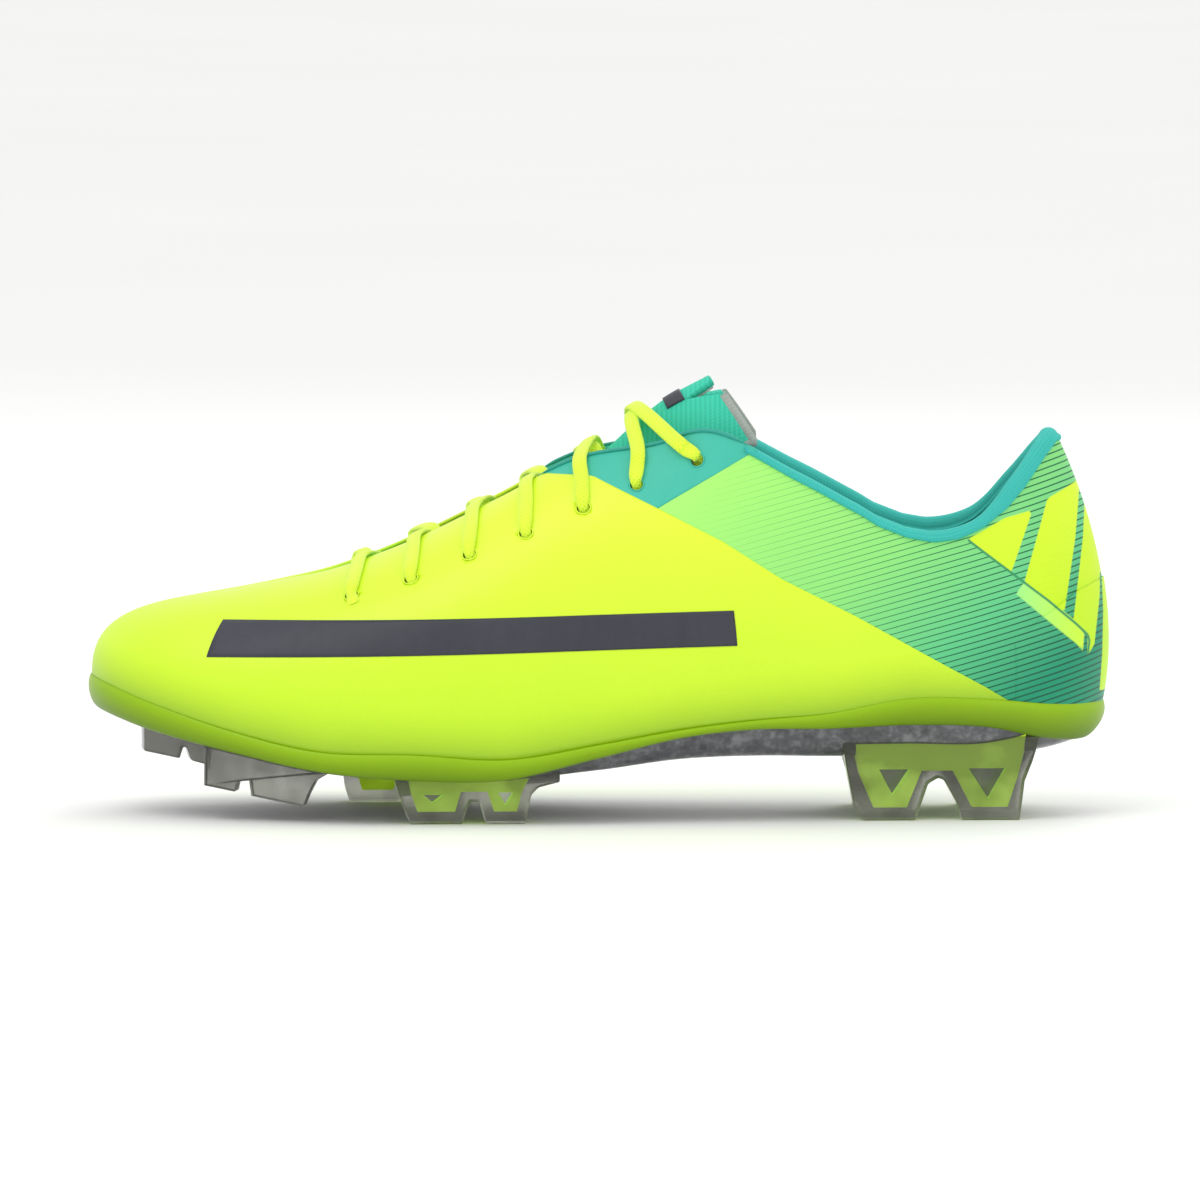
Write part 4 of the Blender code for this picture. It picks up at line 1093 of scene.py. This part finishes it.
print("lace length in mm", round(np.linalg.norm(np.diff(path, axis=0), axis=1).sum() / MM))

# %% [markdown]
# ## Eyelets
# The eyelets are punched and pressed, with no metal: a hole through both walls with a soft raised
# lip. The holes are cut by short rods, and the lips are small rings that lie on the wall.
# %% Eyelets
HOLE, LIP = 1.8, 0.2
HOLE_SIDES, LIP_SIDES = 20, 8
ROD_ENDS = np.array([-9.0, 4.0])


def copies(faces, count, size):
    """The same faces for each of several copies, whose points follow one another."""
    return (np.array(faces)[None] + size * np.arange(count)[:, None, None]).reshape(count * len(faces), -1)


centre = wall(hole_u, hole_v)[:, None, None]
along, up, out = (way[:, None, None] for way in directions(hole_u, hole_v))
angle = (np.arange(HOLE_SIDES) * math.tau / HOLE_SIDES)[:, None, None]
ring = np.cos(angle) * along + np.sin(angle) * np.cross(out, along)
tube = (np.arange(LIP_SIDES) * math.tau / LIP_SIDES)[:, None]
rods = centre + ring * HOLE + out * ROD_ENDS[:, None]
lips = centre + ring * (HOLE + LIP + LIP * np.cos(tube)) + out * (0.02 + LIP * 0.8 * np.sin(tube))
rod_caps = [np.arange(HOLE_SIDES) * 2 + end for end in (0, 1)]
rod_mesh = bpy.data.meshes.new("eyelet_rods")
rod_mesh.from_pydata((rods.reshape(-1, 3) * MM).tolist(), [], [
    *copies(quads_of(HOLE_SIDES, 2, (1, 0)), len(rods), 2 * HOLE_SIDES).tolist(),
    *copies(rod_caps, len(rods), 2 * HOLE_SIDES).tolist()])
worked(rod_mesh, face_out)
rod_tool = linked("eyelet_rods", rod_mesh)

# %% Holes
for name in ("vamp", "forefoot_lining", "eyestay_lateral", "eyestay_medial"):
    change = made_pieces[name].modifiers.new("eyelets", "BOOLEAN")
    change.object = rod_tool
    change.operation = "DIFFERENCE"
    change.solver = "EXACT"
    bpy.context.view_layer.update()
    cut = made_pieces[name].evaluated_get(bpy.context.evaluated_depsgraph_get())
    cut_mesh = bpy.data.meshes.new_from_object(cut)
    made_pieces[name].modifiers.clear()
    made_pieces[name].data = cut_mesh
    print(name, "after the holes", len(cut_mesh.polygons))
bpy.data.objects.remove(rod_tool)

# %% Lips
LIP_GROUPS = (("front", slice(0, FRONT_EYELETS), NEON_LIP, "neon_skin"),
              ("top", slice(FRONT_EYELETS, None), TEAL, "teal_skin"))
for (side, side_name), own in zip(SIDES, lips.reshape(2, len(EYELETS), -1, 3)):
    for group, part, finish, slot in LIP_GROUPS:
        chosen = own[part]
        mesh = bpy.data.meshes.new(f"eyelet_lips_{group}_{side_name}")
        quads = copies(quads_of(HOLE_SIDES, LIP_SIDES, (1, 1)), len(chosen), chosen.shape[1])
        mesh.from_pydata((chosen.reshape(-1, 3) * MM).tolist(), [], quads.tolist())
        worked(mesh, face_out)
        mesh.shade_smooth()
        ridden(linked(mesh.name, mesh), finish, "boot", ())
print("lips", len(lips))

# %% [markdown]
# ## Sole
# The rim is a band of plastic that hugs the foot of the upper. Its section is a smooth line from a
# thin lip over the seam, out to its fullest, and in under the plate. The plate is a shallow tray whose
# underside sinks from the rim to a keel, and the sockliner lies in the boot above it.
# %% Rim
KEEL = np.array([28.5, 26.2, 22.6, 17.6, 12.9, 11.2, 11.2, 13.3, 16.0, 16.8, 16.6, 16.6, 16.8, 18.4, 21.0,
                 24.0])
RIM_SECTION = [(1.0, -2.4), (0.96, -1.2), (0.80, -0.1), (0.55, 0.65), (0.30, 0.95), (0.10, 0.85),
               (-0.04, 0.55), (-0.10, 0.22)]


def foot_ring(u, height, outset):
    """The foot of the wall moved outwards in plan, at given heights, in mm."""
    points = wall(u, 0.0)
    along = wall(u + 0.05, 0.0) - wall(u - 0.05, 0.0)
    away = np.stack([along[..., 1], -along[..., 0]], -1)
    away /= np.linalg.norm(away, axis=-1, keepdims=True)
    return np.concatenate([points[..., :2] + away * outset[..., None], height[..., None]], -1)


def station_curve(values, u):
    """A value given for each station, read anywhere round the ring."""
    return around(np.concatenate([values, values[HEEL - 1:0:-1]]), u)


u_ring = np.arange(RING * 12) / 12
section = smooth_path(RIM_SECTION, 4)
foot_z = wall(u_ring, 0.0)[:, 2]
rim_z = station_curve(column["rim_z"], u_ring)
height = foot_z[:, None] + (rim_z - foot_z)[:, None] * section[None, :, 0]
u_grid = np.repeat(u_ring[:, None], len(section), 1)
# Depth below the foot of the upper, which the rim's painted shade reads.
drop = np.maximum(foot_z[:, None] - height, 0) * MM
rim_points = foot_ring(u_grid, height, np.broadcast_to(section[:, 1], height.shape))
rim = surface("sole_rim", rim_points * MM, RIM_PLASTIC, ["sole_rim"], wrap=(True, False),
              values={"drop": drop})
thicken(rim, 1.6 * MM)
print("rim faces", len(rim.data.polygons))


# %% Plate and sockliner
PLATE_INSET, SOCK_INSET = 3.9, 6.6


def sole_sheet(inset, raised, s, across, crown=0.0):
    """A sheet in mm across the sole: keel + (rim - keel) |t|^6, set in from the foot of the wall."""
    s, across = np.meshgrid(s, across, indexing="ij")
    lateral = foot_ring(s, np.zeros(s.shape), np.full(s.shape, -inset))
    medial = foot_ring((RING - s) % RING, np.zeros(s.shape), np.full(s.shape, -inset))
    share = ((across + 1) / 2)[..., None]
    points = lateral * (1 - share) + medial * share
    keel = station_curve(KEEL, s.ravel()).reshape(s.shape)
    edge = station_curve(column["rim_z"], s.ravel()).reshape(s.shape)
    points[..., 2] = keel + (edge - keel) * np.abs(across) ** 6 + raised + crown * (1 - across ** 2)
    return points


def rounded(n):
    """n numbers from -1 to 1, closer together at both ends."""
    return np.sin(np.linspace(-np.pi / 2, np.pi / 2, n))


def tray(name, inset, low, thickness, finish, nodes, crown=0.0):
    """A closed layer of the sole: underside, edge and top as one loop of rows, its two ends pinched."""
    s = np.concatenate([np.linspace(0.0, 1.0, 12)[:-1] ** 1.5, np.linspace(1, HEEL - 1, 13 * 9)[:-1],
                        HEEL - np.linspace(1.0, 0.0, 12) ** 1.5])
    under = sole_sheet(inset, low, s, rounded(33))
    over = sole_sheet(inset, low + thickness, s, rounded(33), crown)
    loop = np.concatenate([under[:, ::-1], over], 1)
    return surface(name, loop * MM, finish, nodes, wrap=(False, True), caps=True)


tray("outsole_plate", PLATE_INSET, 0.0, 2.2, PLATE, ["outsole_plate"])
sock = tray("sockliner", SOCK_INSET, 4.7, 3.4, SOCK_CLOTH, ["sockliner"], 0.4)


def plate_under(x, y):
    """Height in mm of the plate's underside over each place: that of the nearest of a grid of points."""
    sheet = sole_sheet(PLATE_INSET, 0.0, np.linspace(0, HEEL, 301), np.linspace(-1, 1, 81))
    px, py, pz = sheet.reshape(-1, 3).T
    return pz[np.argmin((px - x[:, None]) ** 2 + (py - y[:, None]) ** 2, 1)]


print("plate height under the ball in mm", plate_under(np.array([-45.0]), np.zeros(1)).round(1))

# %% [markdown]
# ## Blades
# A blade is a side outline with a thickness that narrows to its tip. Its neon core sits in a slot
# and shows through the smoked plastic. The outline is filled as a flat curve, which copes with
# pockets, then each point is moved to its place with whole-array sums, and a bevel softens its edges.
# %% Blade outlines
ROOT = 26.0
TOE_TEETH = [(-125.4, ROOT), (-125.4, 16.0), (-115.6, 13.8), (-114.6, 17.0), (-113.6, 16.8), (-112.4, 13.2),
             (-106.8, 11.6), (-106.0, ROOT)]
FRONT_BLADE = [(-107.0, ROOT), (-107.2, 9.7), (-98.8, 8.1), (-98.2, 11.2), (-94.8, 11.2), (-94.2, 7.0),
               (-80.2, 4.3), (-78.8, 7.6), (-76.9, 11.1), (-72.0, 14.0), (-72.0, ROOT)]
MID_BLADE = [(-56.0, ROOT), (-54.5, 7.6), (-52.8, 2.7), (-51.5, 0.0), (-37.4, 0.0), (-36.4, 3.6),
             (-35.2, 6.0), (-32.9, 6.0), (-31.6, 1.6), (-31.0, 0.0), (-20.3, 0.0), (-19.5, 4.6),
             (-18.7, 7.9), (-16.8, 9.9), (-11.0, 11.4), (-11.0, ROOT)]
INNER_BLADE = [(-71.6, ROOT), (-70.4, 4.5), (-69.0, 0.0), (-55.5, 0.0), (-54.0, 4.8), (-50.5, 4.8),
               (-49.0, 0.0), (-38.5, 0.0), (-37.0, 7.0), (-33.0, 11.0), (-33.0, ROOT)]
HEEL_BLADE = [(65.5, ROOT), (66.8, 13.9), (68.9, 3.6), (71.5, 0.0), (85.6, 0.0), (87.5, 5.7), (89.0, 10.0),
              (91.7, 11.6), (93.3, 11.0), (96.9, 4.6), (98.2, 0.0), (114.0, 0.0),
              (115.3, 10.6), (117.4, 16.0), (119.5, ROOT)]
MID_CORE = [(-52.0, ROOT), (-51.2, 8.0), (-49.6, 3.4), (-39.4, 3.4), (-37.9, 8.8), (-30.6, 8.8), (-28.8, 3.4),
            (-22.6, 3.4), (-21.4, 8.4), (-19.2, ROOT)]
INNER_CORE = [(-67.6, ROOT), (-67.0, 8.0), (-65.6, 3.4), (-57.0, 3.4), (-55.6, 7.6), (-48.6, 7.6),
              (-47.4, 3.4), (-41.4, 3.4), (-40.2, 8.4), (-37.8, ROOT)]
HEEL_CORE = [(69.2, ROOT), (70.2, 13.0), (74.2, 3.6), (83.2, 3.6), (87.2, 13.6), (95.8, 13.6), (101.0, 3.6),
             (110.6, 3.6), (113.4, 12.0), (115.6, ROOT)]
MID_POCKETS = [[(-48.4, 8.0), (-42.6, 8.0), (-45.5, 5.8)], [(-27.8, 8.6), (-23.6, 8.6), (-25.7, 5.2)]]
HEEL_POCKETS = [[(75.6, 14.0), (84.0, 14.0), (79.3, 7.0)], [(100.0, 14.2), (110.2, 14.2), (105.4, 5.8)]]


# %% Blades and cores
def join_flat(shape):
    """The step that joins faces which lie almost in one plane."""
    bmesh.ops.dissolve_limit(shape, angle_limit=0.02, verts=shape.verts, edges=shape.edges)


def slab(name, outline, root_wide, tip_wide, y, turn, rise, bevel, finish, nodes, holes=()):
    """A filled side outline given its thickness, turned about its middle and cut off inside the plate."""
    flat = bpy.data.curves.new(name, "CURVE")
    flat.dimensions = "2D"
    flat.fill_mode = "BOTH"
    flat.extrude = 0.5
    for points in (outline, *holes):
        spline = flat.splines.new("POLY")
        spline.points.add(len(points) - 1)
        spline.points.foreach_set("co", np.array([(x, z, 0, 1) for x, z in points], float).ravel())
        spline.use_cyclic_u = True
    drawn = linked(name, flat)
    mesh = bpy.data.meshes.new_from_object(drawn.evaluated_get(bpy.context.evaluated_depsgraph_get()))
    bpy.data.objects.remove(drawn)
    worked(mesh, weld_within(0.01))
    co = np.empty(len(mesh.vertices) * 3)
    mesh.vertices.foreach_get("co", co)
    x, z, across = co.reshape(-1, 3).T
    middle = (x.min() + x.max()) / 2
    across = across * (tip_wide + (root_wide - tip_wide) * np.clip(z / ROOT, 0, 1))
    side = middle + (x - middle) * math.cos(turn) - across * math.sin(turn)
    depth = y + (x - middle) * math.sin(turn) + across * math.cos(turn)
    z = np.where(z > ROOT - 0.5, plate_under(side, depth) + rise, z)
    mesh.vertices.foreach_set("co", (np.column_stack([side, depth, z]) * MM).ravel())
    worked(mesh, face_out, join_flat)
    made = ridden(linked(name, mesh), finish, "boot", nodes)
    soften = made.modifiers.new("soft_edge", "BEVEL")
    soften.width = bevel * MM
    soften.segments = 3
    soften.limit_method = "ANGLE"
    soften.angle_limit = math.radians(25)


STUDS = [("toe", TOE_TEETH, 13.0, 8.0, None, ()), ("front_lateral", FRONT_BLADE, -26.0, -9.0, None, ()),
         ("mid_lateral", MID_BLADE, -33.0, 3.0, MID_CORE, MID_POCKETS),
         ("mid_medial", INNER_BLADE, 32.0, 2.0, INNER_CORE, ()),
         ("heel_lateral", HEEL_BLADE, -22.0, 3.0, HEEL_CORE, HEEL_POCKETS),
         ("heel_medial", HEEL_BLADE, 22.0, -3.0, HEEL_CORE, HEEL_POCKETS)]
for name, outline, y, turn, core, pockets in STUDS:
    slab(f"stud_{name}", outline, 8.0, 6.4, y, math.radians(turn), 0.6, 0.45, SMOKED,
         [f"stud_{name}"])
    # Each core glows with painted light behind the smoked plastic.
    if core:
        slab(f"core_{name}", core, 7.0, 5.7, y, math.radians(turn), 0.4, 0.25, CORE,
             [f"core_{name}"], pockets)

# %% [markdown]
# ## Studio
# A pale floor, a wide soft light above and in front, a weaker one in front of the heel, another from
# behind for the edge of the collar, and a bright even surround. Large lights make the soft, slow
# highlights of the film.
# %% Floor
FLOOR_EDGE = 6.0
floor_mesh = bpy.data.meshes.new("floor")
floor_corners = [(x * FLOOR_EDGE, y * FLOOR_EDGE, 0) for x, y in ((-1, -1), (1, -1), (1, 1), (-1, 1))]
floor_mesh.from_pydata(floor_corners, [], [(0, 1, 2, 3)])
floor = linked("floor", floor_mesh)
paper = Finish("floor_paper", roughness=0.9)
paper.feed(base_color=paper.mix(paper.noise(3.0, 2), tint("#F9F9F8"), tint("#FDFDFC")))
floor_mesh.materials.append(paper.material)
print("floor is", 2 * FLOOR_EDGE, "m wide")


# %% Lights and surround
def soft_light(name, place, aim, size, power):
    """A square lamp that faces a point."""
    lamp = bpy.data.lights.new(name, "AREA")
    lamp.size = size
    lamp.energy = power
    made = linked(name, lamp)
    made.location = place
    away = np.array(aim, float) - np.array(place, float)
    turn = math.atan2(away[1], away[0]) - math.pi / 2
    made.rotation_euler = (math.acos(-away[2] / np.linalg.norm(away)), 0, turn)


AIM = (0, 0, 0.05)
soft_light("key_light", (-0.6, -0.7, 1.4), AIM, 0.9, 6)
soft_light("fill_light", (1.0, -0.9, 0.6), AIM, 0.8, 1.5)
soft_light("rim_light", (0.4, 1.1, 0.9), AIM, 0.7, 4)
surround = bpy.data.worlds.new("surround")
surround.use_nodes = True
surround.node_tree.nodes["Background"].inputs[0].default_value = (1.0, 1.0, 1.0, 1)
surround.node_tree.nodes["Background"].inputs[1].default_value = 0.94
bpy.context.scene.world = surround
